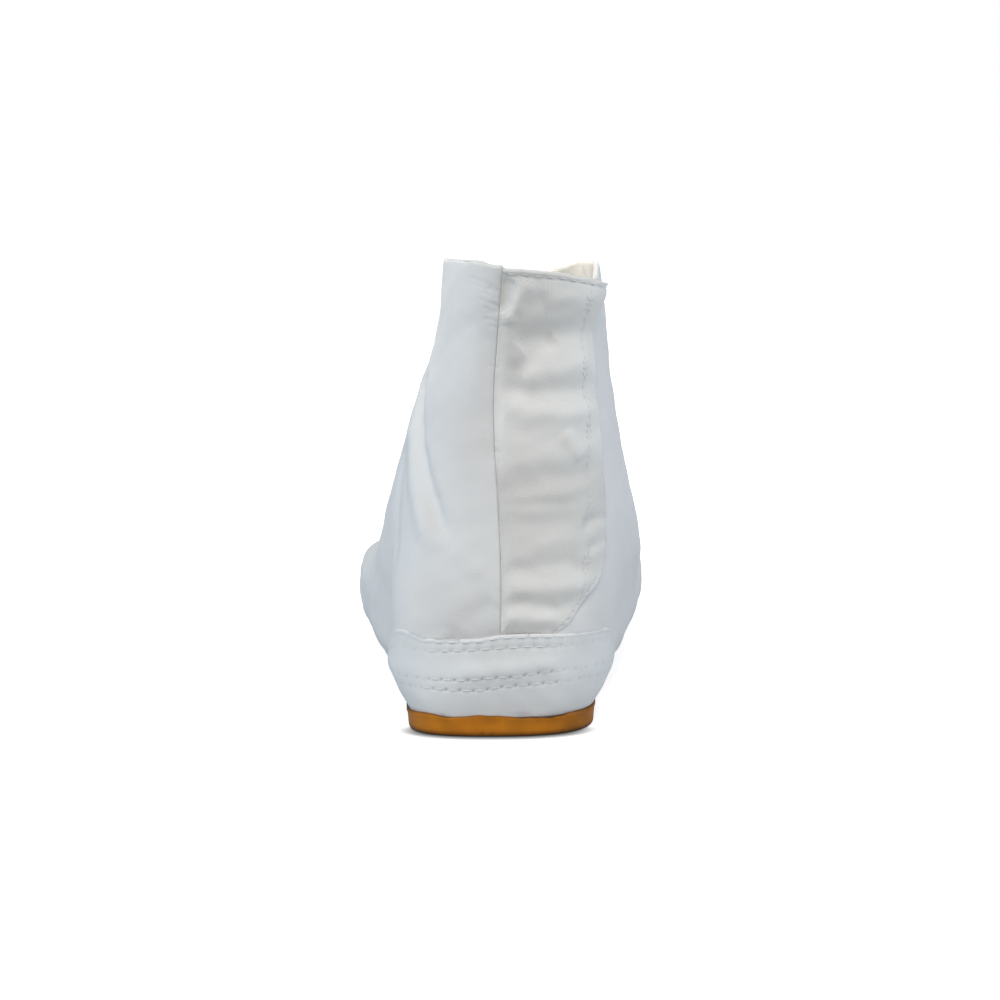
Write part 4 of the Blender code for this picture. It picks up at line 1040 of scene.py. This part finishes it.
# the white sheet that is seen, and a greyer one that sends the light back up
sheet = ground("floor_white", 0.0, (0.92, 0.92, 0.92), 0.62)
sheet.visible_diffuse = sheet.visible_glossy = sheet.visible_transmission = sheet.visible_shadow = False
under_sheet = ground("floor_grey", -0.0005, (0.58, 0.59, 0.61), 0.0)
under_sheet.visible_camera = False

world = bpy.data.worlds.new("studio")
scene.world = world
world.use_nodes = True
tree = world.node_tree
tree.nodes.clear()
seen, lit = (node(tree, "ShaderNodeBackground", Color=(1, 1, 1, 1), Strength=1.0),
             node(tree, "ShaderNodeBackground", Color=(0.94, 0.97, 1.0, 1), Strength=0.30))
ray, pick_world, out = tree.nodes.new("ShaderNodeLightPath"), tree.nodes.new("ShaderNodeMixShader"), tree.nodes.new("ShaderNodeOutputWorld")
tree.links.new(ray.outputs["Is Camera Ray"], pick_world.inputs[0])
tree.links.new(lit.outputs[0], pick_world.inputs[1])
tree.links.new(seen.outputs[0], pick_world.inputs[2])
tree.links.new(pick_world.outputs[0], out.inputs["Surface"])


def lamp(name, kind, energy, colour, place, aim=None, **values):
    data = bpy.data.lights.new(name, kind)
    data.energy = energy
    data.color = colour
    for key, value in values.items():
        setattr(data, key, value)
    obj = bpy.data.objects.new(name, data)
    scene.collection.objects.link(obj)
    obj.location = place
    obj.rotation_euler = (Vector(aim) - Vector(place)).to_track_quat("-Z", "Y").to_euler()
    return obj


lamp("top", "SUN", 1.82, (1.0, 0.985, 0.95), (-0.42, -1.50, 2.0), (0, 0, 0), angle=math.radians(45))
lamp("left_fill", "AREA", 4.9, (0.55, 0.78, 1.0), (-1.1, -0.25, 0.5), (0, -0.06, 0.07), shape="DISK", size=0.9)
lamp("right_fill", "AREA", 6.2, (0.74, 0.87, 1.0), (1.1, -0.2, 0.45), (0, -0.06, 0.07), shape="DISK", size=0.9)

lamp("collar", "SPOT", 17.0, (1.0, 0.90, 0.74), (-0.36, -0.10, 0.56), (0.030, -0.050, 0.146), spot_size=math.radians(13), spot_blend=1.0, shadow_soft_size=0.05)

scene.view_settings.view_transform = "Standard"
